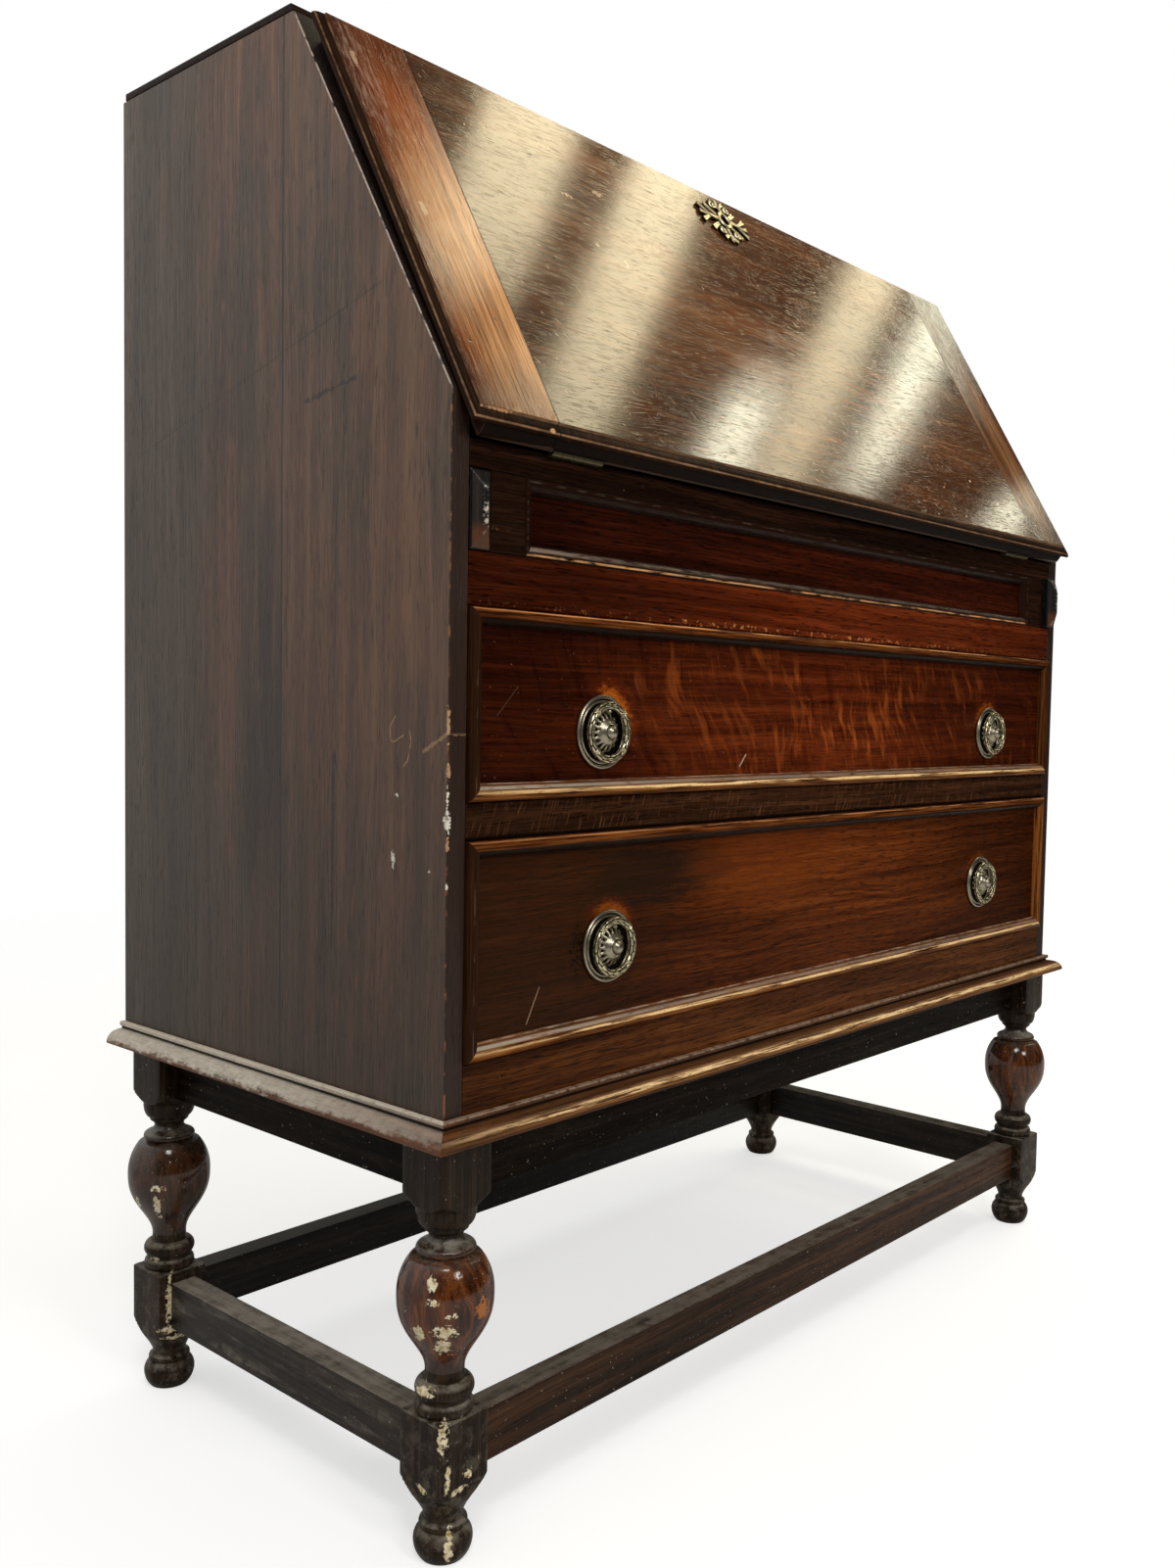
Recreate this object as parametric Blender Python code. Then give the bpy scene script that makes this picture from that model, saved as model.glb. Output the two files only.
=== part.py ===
"""Drop-front writing bureau on a stand with turned legs, built as separate pieces.

Metres, +Z up, the front faces -Y. Pieces are drawn with y = 0 on the front of the carcass
and z = 0 on the floor. The empty called bureau then centres the whole on the origin.
"""
import math

import bmesh
import bpy
from mathutils import Vector

# Carcass
WIDTH = 0.889
DEPTH = 0.405
SIDE_T = 0.0155
RAIL_T = 0.020
BOARD_T = 0.0127
TOP_T = 0.017
TOP_LAP = 0.0058
TOP_SHORT = 0.0035
BACK_T = 0.010
BACK_SET = 0.002

# Heights of the front, from the floor up
STAND_H = 0.2883
BASE_RAIL_H = 0.0498
LOWER_DRAWER_H = 0.1458
MID_RAIL_H = 0.0244
UPPER_DRAWER_H = 0.1264
FRIEZE_RAIL_H = 0.0348
FRIEZE_H = 0.0534
FALL_RAIL_H = 0.0176
SLANT_START = 0.0292
SLANT = math.radians(58.84)

# Clearances: between glued pieces, and round pieces that slide
GAP = 0.0003
REVEAL = 0.0007

# Fall, drawn flat in its own frame: x across, y up the slope, z out of the face
FALL_AJAR = math.radians(1.35)
PIN_OUT = 0.0036
PIN_UP = 0.0012
FALL_FOOT = 0.0
FALL_LENGTH = 0.3450
FALL_LAP = 0.00775
FALL_IN = 0.0040
FALL_T = 0.0171
HEEL = 0.0017
LIP_REST = 0.0043
LIP_T = 0.0063
EDGE_W = 0.0090
EDGE_STEP = 0.0016
TOP_CLEAR = 0.0100
CLEAT_W = 0.0775
HINGE_W = 0.050
LEAF_T = 0.0018
LEAF_D = 0.0168
KNUCKLE_R = 0.0032
LOCK_W = 0.062
LOCK_H = 0.038
LOCK_T = 0.0095
LOCK_X = 0.0
SCUTCHEON_R = 0.0180
SCUTCHEON_UP = 0.0005

# Frieze and lopers
LOPER_W = 0.0178
LOPER_CLEAR = 0.0327
LOPER_POINT = 0.008
LOPER_OUT = 0.0065
STILE_W = 0.0308
GUIDE_W = 0.012
FRIEZE_T = 0.016
OVOLO = 0.0080
FILLET = 0.0015

# Drawers
DRAWER_T = 0.018
DRAWER_SIDE_T = 0.011
DRAWER_BOTTOM_T = 0.006
DRAWER_CLEAR = 0.0277
FIELD_SINK = 0.003
CREST = 0.0045
CREST_AT = 0.0046
DRAWER_EDGE = 0.0116

# Handles
UPPER_HANDLE_IN = 0.1465
LOWER_HANDLE_IN = 0.1565
UPPER_HANDLE_DROP = 0.0177
LOWER_HANDLE_DROP = 0.0112
PLATE_R = 0.0266
RING_R = 0.0193
RING_TUBE = 0.0028
RING_OUT = 0.0080
ROSETTE_R = 0.0148
BUTTON_OUT = 0.0143
HANDLE_SIDES = 16

# Base moulding and stand
MOULD_H = 0.0165
MOULD_OUT = 0.0165
BLOCK = 0.0424
LEG_PROUD = 0.0009
LEG_FRONT = 0.0197
LEG_BACK = 0.0350
APRON_H = 0.0435
APRON_SET = 0.018
APRON_T = 0.020
STRETCHER_H = 0.0375
STRETCHER_T = 0.0215
SIDES = 20

# Fitted interior
SHELF_UP = 0.096
SHELF_T = 0.010
SHELF_D = 0.1677
UPRIGHT_T = 0.008

# Levels and planes that follow from the sizes above
HALF = WIDTH / 2
INNER = HALF - SIDE_T
Z_BASE = STAND_H + BASE_RAIL_H
Z_MID = Z_BASE + LOWER_DRAWER_H + 2 * REVEAL
Z_UPPER = Z_MID + MID_RAIL_H
Z_FRIEZE_RAIL = Z_UPPER + UPPER_DRAWER_H + 2 * REVEAL
Z_FRIEZE = Z_FRIEZE_RAIL + FRIEZE_RAIL_H
Z_FALL_RAIL = Z_FRIEZE + FRIEZE_H
Z_BED = Z_FALL_RAIL + FALL_RAIL_H
Z_SLANT = Z_BED + SLANT_START
SLOPE = FALL_LENGTH - FALL_LAP
SLANT_RISE = SLOPE * math.sin(SLANT)
HEIGHT = Z_SLANT + SLANT_RISE
BACK_FRONT = DEPTH - BACK_SET - BACK_T
BOARD_END = BACK_FRONT - GAP
PIN_Z = Z_BED + PIN_UP
FALL_ANGLE = SLANT + FALL_AJAR
FALL_INNER = PIN_UP
FALL_OUTER = PIN_UP + FALL_T
FALL_HALF = HALF - FALL_IN
CLEAT_X = FALL_HALF - CLEAT_W
HINGE_X = CLEAT_X - HINGE_W / 2 - 0.003
LEG_X = HALF - BLOCK / 2 + LEG_PROUD
LEG_H = STAND_H - GAP
LEG_REAR = DEPTH - LEG_BACK
STRETCHER_Z = LEG_H * 0.191
SHELF_FRONT = BOARD_END - SHELF_D
LOPER_IN = INNER - REVEAL - LOPER_W
LEAF_START = KNUCKLE_R + 0.0004
LEAF_END = LEAF_START + LEAF_D
STILE_OUT = LOPER_IN - REVEAL


def material(name, colour, roughness, metallic):
    """Principled material with the plain colour of a piece."""
    mat = bpy.data.materials.new(name)
    mat.use_nodes = True
    shader = mat.node_tree.nodes["Principled BSDF"]
    shader.inputs["Base Color"].default_value = (*colour, 1.0)
    shader.inputs["Roughness"].default_value = roughness
    shader.inputs["Metallic"].default_value = metallic
    mat.diffuse_color = (*colour, 1.0)
    return mat


def empty(name, parent, place, turn=0.0):
    """Empty that carries a group of pieces, turned about the x axis."""
    holder = bpy.data.objects.new(name, None)
    holder.empty_display_size = 0.05
    holder.parent = parent
    holder.location = place
    holder.rotation_euler = (turn, 0.0, 0.0)
    bpy.context.scene.collection.objects.link(holder)
    return holder


def piece(name, bm, mat, parent, place=(0.0, 0.0, 0.0), smooth=False):
    """Object made from a finished bmesh."""
    bmesh.ops.recalc_face_normals(bm, faces=bm.faces)
    mesh = bpy.data.meshes.new(name)
    bm.to_mesh(mesh)
    bm.free()
    mesh.materials.append(mat)
    if smooth:
        mesh.shade_smooth()
        mesh.set_sharp_from_angle(angle=math.radians(38))
    obj = bpy.data.objects.new(name, mesh)
    obj.parent = parent
    obj.location = place
    bpy.context.scene.collection.objects.link(obj)
    return obj


def loft(loops):
    """Closed skin over outlines of equal length, capped at both ends."""
    bm = bmesh.new()
    rings = [[bm.verts.new(point) for point in loop] for loop in loops]
    count = len(rings[0])
    bm.faces.new(rings[0])
    bm.faces.new(rings[-1])
    for low, high in zip(rings, rings[1:]):
        for i in range(count):
            j = (i + 1) % count
            bm.faces.new((low[i], low[j], high[j], high[i]))
    return bm


def cuboid(lo, hi):
    """Box between two corners."""
    loops = []
    for z in (lo[2], hi[2]):
        loops.append([Vector((lo[0], lo[1], z)), Vector((hi[0], lo[1], z)),
                      Vector((hi[0], hi[1], z)), Vector((lo[0], hi[1], z))])
    return loft(loops)


def along_x(outline, x_lo, x_hi):
    """Outline of (y, z) points carried along x."""
    return loft([[Vector((x, y, z)) for y, z in outline] for x in (x_lo, x_hi)])


def along_z(outline, z_lo, z_hi):
    """Outline of (x, y) points carried along z."""
    return loft([[Vector((x, y, z)) for x, y in outline] for z in (z_lo, z_hi)])


def turned_out(profile, sides):
    """Round piece turned about the y axis from (radius, stand-out) pairs, facing -Y."""
    loops = []
    for radius, out in profile:
        loop = []
        for i in range(sides):
            a = 2 * math.pi * i / sides
            loop.append(Vector((radius * math.cos(a), -out, radius * math.sin(a))))
        loops.append(loop)
    return loft(loops)


def ellipse(centre, semi, start, end, steps):
    """Points on an ellipse between two angles in degrees, both ends kept."""
    points = []
    for i in range(steps + 1):
        a = math.radians(start + (end - start) * i / steps)
        points.append((centre[0] + semi[0] * math.cos(a), centre[1] + semi[1] * math.sin(a)))
    return points


def combine(obj, bm, operation, name):
    """Join a second shape to a piece, or cut it away, with an exact Boolean."""
    tool = piece(name, bm, obj.data.materials[0], obj.parent, obj.location)
    tool.hide_render = True
    tool.display_type = 'WIRE'
    modifier = obj.modifiers.new(name, 'BOOLEAN')
    modifier.operation = operation
    modifier.solver = 'EXACT'
    modifier.object = tool


def slant_y(z):
    """Depth of the slanted front plane of the sides at a height."""
    return (z - Z_SLANT) / math.tan(SLANT)


def build_sides(root, oak):
    """Two upright sides with a slanted front edge above the writing level."""
    z_top = HEIGHT - TOP_LAP - GAP
    outline = [(0.0, STAND_H), (DEPTH, STAND_H), (DEPTH, z_top),
               (slant_y(z_top), z_top), (0.0, Z_SLANT)]
    piece("side_left", along_x(outline, -HALF, -INNER), oak, root)
    piece("side_right", along_x(outline, INNER, HALF), oak, root)


def build_top(root, oak):
    """Top board with a front edge in the slant and ends lapped over the sides."""
    loops = []
    z_lap = HEIGHT - TOP_LAP
    for half, z in ((INNER - GAP, HEIGHT - TOP_T), (INNER - GAP, z_lap), (HALF, z_lap), (HALF, HEIGHT)):
        front = slant_y(z)
        rear = DEPTH - TOP_SHORT
        if half < HALF:
            rear = BOARD_END
        loops.append([Vector((-half, front, z)), Vector((half, front, z)),
                      Vector((half, rear, z)), Vector((-half, rear, z))])
    piece("top_board", loft(loops), oak, root)


def build_back(root, oak):
    """Back panel between the sides."""
    lo = (-INNER + GAP, BACK_FRONT, STAND_H + 0.010)
    hi = (INNER - GAP, DEPTH - BACK_SET, HEIGHT - TOP_LAP - GAP)
    piece("back_panel", cuboid(lo, hi), oak, root)


def build_rails(root, oak):
    """Front rails, with the board behind each of them that the moving pieces run on."""
    wide = INNER - GAP
    for rail, board, z_lo, z_hi in (
            ("base_rail", "bottom_board", STAND_H, Z_BASE),
            ("mid_rail", "dust_board_mid", Z_MID, Z_UPPER),
            ("frieze_rail", "dust_board_upper", Z_FRIEZE_RAIL, Z_FRIEZE)):
        piece(rail, cuboid((-wide, 0.0, z_lo), (wide, RAIL_T, z_hi)), oak, root)
        low = max(z_lo, z_hi - BOARD_T)
        piece(board, cuboid((-wide, RAIL_T + GAP, low), (wide, BOARD_END, z_hi)), oak, root)
    rail = piece("fall_rail", cuboid((-wide, 0.0, Z_FALL_RAIL), (wide, RAIL_T, Z_BED)), oak, root)
    low = Z_FALL_RAIL + 0.0020
    piece("writing_bed", cuboid((-wide, RAIL_T + GAP, low), (wide, BOARD_END, Z_BED)), oak, root)
    for side in (-1, 1):
        half = HINGE_W / 2 + GAP
        lo = (side * HINGE_X - half, -0.010, Z_BED - LEAF_T - GAP)
        hi = (side * HINGE_X + half, LEAF_END - PIN_OUT + GAP, Z_BED + 0.010)
        combine(rail, cuboid(lo, hi), 'DIFFERENCE', "hinge_seat_" + ("left" if side < 0 else "right"))


def framed(half_w, half_h, back, profile):
    """Panel with a moulding round its edge: (inset, y) pairs from the outer arris to the field."""
    loops = []
    for inset, y in [(0.0, back)] + profile:
        w = half_w - inset
        h = half_h - inset
        loops.append([Vector((-w, y, -h)), Vector((w, y, -h)), Vector((w, y, h)), Vector((-w, y, h))])
    return loft(loops)


def build_frieze(root, oak):
    """Fixed sunk panel between two stiles, each stile with the guide of a loper behind it."""
    z_lo = Z_FRIEZE + GAP
    z_hi = Z_FALL_RAIL - GAP
    stile_in = STILE_OUT - STILE_W
    ovolo = [(0.0, 0.0)]
    ovolo += ellipse((FILLET, OVOLO), (OVOLO, OVOLO), -90, 0, 4)
    panel = framed(stile_in - GAP, (z_hi - z_lo) / 2, FRIEZE_T, ovolo)
    piece("frieze_panel", panel, oak, root, (0.0, 0.0, (z_lo + z_hi) / 2))
    for side, name in ((-1, "stile_left"), (1, "stile_right")):
        outline = [(stile_in, 0.0), (STILE_OUT, 0.0), (STILE_OUT, BOARD_END),
                   (STILE_OUT - GUIDE_W, BOARD_END), (STILE_OUT - GUIDE_W, RAIL_T), (stile_in, RAIL_T)]
        turned = [(side * x, y) for x, y in outline]
        piece(name, along_z(turned, z_lo, z_hi), oak, root)


def build_lopers(root, oak):
    """Two sliding supports with a faceted end; the right one stands a little way out."""
    z_mid = (Z_FRIEZE + Z_FALL_RAIL) / 2
    x_mid = LOPER_IN + LOPER_W / 2
    for side, name, out in ((-1, "loper_left", 0.0), (1, "loper_right", LOPER_OUT)):
        half_h = FRIEZE_H / 2 - REVEAL
        bm = cuboid((-LOPER_W / 2, 0.0, -half_h), (LOPER_W / 2, BOARD_END - LOPER_CLEAR, half_h))
        bm.faces.ensure_lookup_table()
        front = min(bm.faces, key=lambda face: face.calc_center_median().y)
        bmesh.ops.delete(bm, geom=[front], context='FACES_ONLY')
        ridge_h = half_h - 0.0145
        low = bm.verts.new((0.0, -LOPER_POINT, -ridge_h))
        high = bm.verts.new((0.0, -LOPER_POINT, ridge_h))
        corner = {(v.co.x > 0, v.co.z > 0): v for v in bm.verts if v.co.y == 0.0}
        left = corner[(False, False)], corner[(False, True)]
        right = corner[(True, False)], corner[(True, True)]
        bm.faces.new((left[0], low, high, left[1]))
        bm.faces.new((right[0], right[1], high, low))
        bm.faces.new((left[0], right[0], low))
        bm.faces.new((left[1], high, right[1]))
        piece(name, bm, oak, root, (side * x_mid, -out, z_mid))


def fall_piece(x_lo, x_hi, lo_edge, hi_edge):
    """Part of the fall between two x planes, moulded below and on the edges asked for."""
    rest = FALL_INNER + LIP_REST
    lip = FALL_OUTER - LIP_T
    body = FALL_HALF - (INNER - 0.0010)
    rows = [(body, -HEEL, TOP_CLEAR, FALL_INNER), (body, -HEEL, TOP_CLEAR, rest)]
    rows.append((body, 0.0010, TOP_CLEAR, lip - 0.0002))
    rows.append((0.0, 0.0, 0.0, lip))
    thumb = 0.0063
    rise = LIP_T - EDGE_STEP - 0.0021
    for inset, out in ellipse((thumb, lip + 0.0020), (thumb, rise), 180, 90, 4):
        rows.append((inset, inset, 0.0, out))
    rows.append((EDGE_W, EDGE_W, 0.0, FALL_OUTER - EDGE_STEP))
    rows.append((EDGE_W + 0.0003, EDGE_W + 0.0003, 0.0, FALL_OUTER))
    loops = []
    for side, below, above, out in rows:
        lo = x_lo + side * lo_edge
        hi = x_hi - side * hi_edge
        y_lo = FALL_FOOT + below
        y_hi = FALL_FOOT + FALL_LENGTH - above
        loops.append([Vector((lo, y_lo, out)), Vector((hi, y_lo, out)),
                      Vector((hi, y_hi, out)), Vector((lo, y_hi, out))])
    return loft(loops)


def lock_centre():
    """Height of the lock up the slope of the fall."""
    return FALL_FOOT + FALL_LENGTH - TOP_CLEAR - 0.004 - LOCK_H / 2


def build_fall(fall, oak):
    """Centre panel with a cleat at each end, and seats for the hinge leaves and the lock."""
    joint = CLEAT_X - GAP / 2
    panel = piece("fall_panel", fall_piece(-joint, joint, 0, 0), oak, fall)
    piece("cleat_left", fall_piece(-FALL_HALF, -CLEAT_X - GAP / 2, 1, 0), oak, fall)
    piece("cleat_right", fall_piece(CLEAT_X + GAP / 2, FALL_HALF, 0, 1), oak, fall)
    for side in (-1, 1):
        half = HINGE_W / 2 + GAP
        lo = (side * HINGE_X - half, -0.010, FALL_INNER - 0.010)
        hi = (side * HINGE_X + half, LEAF_END + GAP, FALL_INNER + LEAF_T + GAP)
        word = "left" if side < 0 else "right"
        combine(panel, cuboid(lo, hi), 'DIFFERENCE', "leaf_seat_" + word)
        hi = (hi[0] + GAP, LEAF_START, KNUCKLE_R + 2 * GAP)
        lo = (lo[0] - GAP, -0.012, lo[2])
        combine(panel, cuboid(lo, hi), 'DIFFERENCE', "barrel_seat_" + word)
    y = lock_centre()
    lo = (LOCK_X - LOCK_W / 2 - GAP, y - LOCK_H / 2 - GAP, FALL_INNER - 0.010)
    hi = (LOCK_X + LOCK_W / 2 + GAP, y + LOCK_H / 2 + GAP, FALL_INNER + LOCK_T + GAP)
    combine(panel, cuboid(lo, hi), 'DIFFERENCE', "lock_seat")
    return panel


def keyhole():
    """Outline of the keyhole: a round eye over a straight slot."""
    return ellipse((0.0, 0.0028), (0.0026, 0.0026), -52, 232, 10) + [(-0.0011, -0.0065), (0.0011, -0.0065)]


def build_lock(fall, panel, brass):
    """Lock case in the inner face, the strapwork escutcheon outside and the keyhole between."""
    y = lock_centre()
    lo = (LOCK_X - LOCK_W / 2, y - LOCK_H / 2, FALL_INNER)
    hi = (LOCK_X + LOCK_W / 2, y + LOCK_H / 2, FALL_INNER + LOCK_T)
    piece("lock_case", cuboid(lo, hi), brass, fall)
    outline = []
    count = 48
    for i in range(count):
        a = 2 * math.pi * i / count
        reach = SCUTCHEON_R * (1.0 + 0.30 * math.cos(4 * a) + 0.05 * math.cos(8 * a))
        outline.append((1.45 * reach * math.cos(a), reach * math.sin(a)))
    place = (LOCK_X, y + SCUTCHEON_UP, FALL_OUTER + GAP)
    plate = piece("escutcheon", along_z(outline, 0.0, 0.0022), brass, fall, place)
    combine(plate, along_z(keyhole(), -0.005, 0.007), 'DIFFERENCE', "keyhole_plate")
    shifted = [(LOCK_X + x, y + SCUTCHEON_UP + up) for x, up in keyhole()]
    bore = along_z(shifted, FALL_INNER + LOCK_T / 2, FALL_OUTER + 0.005)
    combine(panel, bore, 'DIFFERENCE', "keyhole_wood")


def knuckle(x_lo, x_hi, tab_y, tab_z):
    """Barrel of a hinge round the pin, with the tab that ties it to its leaf."""
    barrel = ellipse((0.0, 0.0), (KNUCKLE_R, KNUCKLE_R), 0, 330, 11)
    joined = along_x(barrel, x_lo, x_hi)
    tab = cuboid((x_lo, 0.0, tab_z - LEAF_T), (x_hi, tab_y, tab_z))
    return joined, tab


def build_leaf(name, parent, x_mid, place, leaf_z, numbers, brass):
    """One leaf of a butt hinge with its own share of the five barrels."""
    half = HINGE_W / 2
    plate = cuboid((-half, LEAF_START, leaf_z - LEAF_T), (half, LEAF_END, leaf_z))
    leaf = piece(name, plate, brass, parent, (x_mid, place[0], place[1]))
    pitch = HINGE_W / 5
    for k in numbers:
        x_lo = -half + k * pitch + GAP / 2
        x_hi = x_lo + pitch - GAP
        barrel, tab = knuckle(x_lo, x_hi, LEAF_START + 0.001, leaf_z)
        combine(leaf, barrel, 'UNION', name + "_barrel_" + str(k))
        combine(leaf, tab, 'UNION', name + "_tab_" + str(k))


def build_hinges(root, fall, brass):
    """Two butt hinges with the pin in front of the rail under the fall."""
    for side, word in ((-1, "left"), (1, "right")):
        x = side * HINGE_X
        build_leaf("hinge_leaf_" + word, root, x, (-PIN_OUT, PIN_Z), -PIN_UP, (0, 2, 4), brass)
        build_leaf("fall_leaf_" + word, fall, x, (0.0, 0.0), FALL_INNER + LEAF_T, (1, 3), brass)


def build_drawer(holder, word, height, oak, plain):
    """Drawer front with a proud moulding, and the box behind it."""
    half_w = INNER - 0.0010
    half_h = height / 2
    rise = CREST - 0.0015
    edge = ellipse((CREST_AT, -0.0015), (CREST_AT, rise), 180, 270, 3)
    edge += ellipse((CREST_AT, FIELD_SINK), (DRAWER_EDGE - CREST_AT, CREST + FIELD_SINK), 270, 360, 4)[1:]
    back = FIELD_SINK + DRAWER_T
    piece("drawer_front_" + word, framed(half_w, half_h, back, edge), oak, holder)
    x_out = half_w
    x_in = x_out - DRAWER_SIDE_T
    y_lo = back + GAP
    y_hi = BOARD_END - DRAWER_CLEAR
    z_lo = -half_h
    z_hi = half_h - 0.004
    piece("drawer_left_" + word, cuboid((-x_out, y_lo, z_lo), (-x_in, y_hi, z_hi)), plain, holder)
    piece("drawer_right_" + word, cuboid((x_in, y_lo, z_lo), (x_out, y_hi, z_hi)), plain, holder)
    wide = x_in - GAP
    y_back = y_hi - DRAWER_SIDE_T
    z_floor = z_lo + 0.004
    z_top = z_floor + DRAWER_BOTTOM_T
    piece("drawer_bottom_" + word, cuboid((-wide, y_lo, z_floor), (wide, y_hi, z_top)), plain, holder)
    z_back = z_top + GAP
    piece("drawer_back_" + word, cuboid((-wide, y_back, z_back), (wide, y_hi, z_hi)), plain, holder)


def build_handle(holder, word, x, z, brass):
    """Round back plate with rim, rosette and button, and the ring that hangs from its lug."""
    groove = 0.0012
    rim_in = PLATE_R - 0.0014
    profile = [(PLATE_R, 0.0), (PLATE_R, 0.0022), (PLATE_R - 0.0006, 0.0030), (rim_in, 0.0022)]
    profile += [(rim_in, groove), (ROSETTE_R, groove), (ROSETTE_R - 0.0004, 0.0038)]
    profile += [(0.0100, 0.0072), (0.0080, 0.0076), (0.0076, 0.0092), (0.0060, 0.0096)]
    profile += [(r, out) for r, out in ellipse((0.0, 0.0100), (0.0060, BUTTON_OUT - 0.0100), 20, 80, 2)]
    place = (x, FIELD_SINK - GAP, z)
    plate = piece("handle_plate_" + word, turned_out(profile, HANDLE_SIDES), brass, holder, place, True)
    lug_top = RING_R - RING_TUBE - GAP
    lug = cuboid((-0.0022, -RING_OUT - 0.0018, ROSETTE_R - 0.0030), (0.0022, -groove / 2, lug_top))
    combine(plate, lug, 'UNION', "lug_" + word)
    loops = []
    for i in range(HANDLE_SIDES):
        a = 2 * math.pi * i / HANDLE_SIDES
        loop = []
        for k in range(8):
            b = 2 * math.pi * (k + 0.5) / 8
            r = RING_R + RING_TUBE * math.cos(b)
            loop.append(Vector((r * math.sin(a), RING_TUBE * math.sin(b), r * math.cos(a) - RING_R)))
        loops.append(loop)
    bm = loft(loops)
    ends = [face for face in bm.faces if len(face.verts) == 8]
    bmesh.ops.bridge_loops(bm, edges=[edge for face in ends for edge in face.edges])
    bmesh.ops.delete(bm, geom=ends, context='FACES_ONLY')
    place = (x, FIELD_SINK - GAP - RING_OUT, z + RING_R)
    piece("handle_ring_" + word, bm, brass, holder, place, True)


def build_drawers(root, oak, plain, brass):
    """Two long drawers, each with a pair of ring handles."""
    for word, z_lo, height, x, drop in (
            ("lower", Z_BASE + REVEAL, LOWER_DRAWER_H, HALF - LOWER_HANDLE_IN, LOWER_HANDLE_DROP),
            ("upper", Z_UPPER + REVEAL, UPPER_DRAWER_H, HALF - UPPER_HANDLE_IN, UPPER_HANDLE_DROP)):
        holder = empty("drawer_" + word, root, (0.0, 0.0, z_lo + height / 2))
        build_drawer(holder, word, height, oak, plain)
        build_handle(holder, word + "_left", -x, -drop, brass)
        build_handle(holder, word + "_right", x, -drop, brass)


def build_base_moulding(root, oak):
    """Mitred moulding round the front and both sides: fillet, quirk and ovolo."""
    z_lo = STAND_H
    z_hi = STAND_H + MOULD_H
    z_quirk = z_hi - 0.0035
    z_ovolo = z_quirk - 0.0025
    nose = 0.0012
    outline = [(GAP, z_lo), (MOULD_OUT, z_lo)]
    outline += ellipse((0.0050, z_lo + nose), (MOULD_OUT - 0.0050, z_ovolo - z_lo - nose), 0, 90, 6)
    outline += [(0.0030, z_ovolo), (0.0030, z_quirk), (0.0047, z_quirk), (0.0047, z_hi), (GAP, z_hi)]
    loops = []
    for side, end in ((-1, 1), (-1, 0), (1, 0), (1, 1)):
        loop = []
        for out, z in outline:
            y = DEPTH if end else -out
            loop.append(Vector((side * (HALF + out), y, z)))
        loops.append(loop)
    piece("base_moulding", loft(loops), oak, root)


def vase(z_lo, z_wide, z_hi, r_neck, r_wide):
    """Baluster: a full S curve up to the widest point, then part of an ellipse to the top."""
    points = []
    for i in range(1, 8):
        t = 1.0 - i / 7
        swell = 0.5 + 0.5 * math.cos(math.pi * t ** 1.33)
        points.append((z_wide - t * (z_wide - z_lo), r_neck + (r_wide - r_neck) * swell))
    for i in range(1, 4):
        z = z_wide + (z_hi - z_wide) * i / 3
        points.append((z, r_wide * math.sqrt(1.0 - ((z - z_wide) / 37.2) ** 2)))
    return points


def leg_profile():
    """Turned outline from the floor up as (height, radius, blank): the middle is turned from a
    wider, built-up blank, and the ends from the square, where a large radius leaves the block.
    It is drawn in millimetres, on a leg 288 high with a block of 42.4, and brought to size."""
    square = 42.4
    floor = -math.degrees(math.asin(12.0 / 18.7))
    low = [(z, r) for r, z in ellipse((0.0, 12.0), (20.2, 18.7), floor, 0, 2)]
    low += [(z, r) for r, z in ellipse((0.0, 12.0), (20.2, 14.5), 18, 34, 1)]
    low += [(20.9, 15.2), (21.9, 16.4), (24.7, 16.4), (25.9, 14.6)]
    for i in range(6):
        t = i / 5
        low.append((29.5 + 26.0 * t, 13.3 + 16.7 * t ** 1.3))
    low += [(100.0, square), (100.0, 19.2)]
    middle = [(z, r) for r, z in ellipse((16.0, 104.2), (4.0, 5.0), -36, 72, 2)]
    middle += [(z, r) for r, z in ellipse((14.2, 116.6), (6.0, 6.4), -62, 86, 4)]
    middle += [(129.5, 13.4)]
    middle += vase(129.5, 181.5, 206.5, 13.4, 32.8)
    middle += [(207.7, 19.4)]
    middle += [(z, r) for r, z in ellipse((16.4, 211.7), (4.0, 3.6), -44, 50, 2)]
    middle += [(217.3, 13.6), (220.5, 11.6), (224.1, 13.6), (225.1, 15.3), (227.5, 15.4)]
    high = [(z, r) for r, z in ellipse((15.4, 238.5), (5.1, 11.0), -52, 10, 2)]
    high += [(243.5, 24.0), (246.5, 27.6), (249.1, 30.0), (288.0, square)]
    points = []
    for stretch, blank in ((low, BLOCK), (middle, 2 * BLOCK), (high, BLOCK)):
        points += [(z * LEG_H / 288.0, r * BLOCK / square, blank) for z, r in stretch]
    return points


def build_legs(stand, oak):
    """Four turned legs; each section is the circle of the lathe kept inside its square blank."""
    for word, x, y in (("front_left", -LEG_X, LEG_FRONT), ("front_right", LEG_X, LEG_FRONT),
                       ("rear_left", -LEG_X, LEG_REAR), ("rear_right", LEG_X, LEG_REAR)):
        loops = []
        for z, r, blank in leg_profile():
            loop = []
            for i in range(SIDES):
                a = 2 * math.pi * (i + 0.5) / SIDES
                c = math.cos(a)
                s = math.sin(a)
                reach = min(r, blank / 2 / max(abs(c), abs(s)))
                loop.append(Vector((reach * c, reach * s, z)))
            loops.append(loop)
        piece("leg_" + word, loft(loops), oak, stand, (x, y, 0.0), True)


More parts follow.
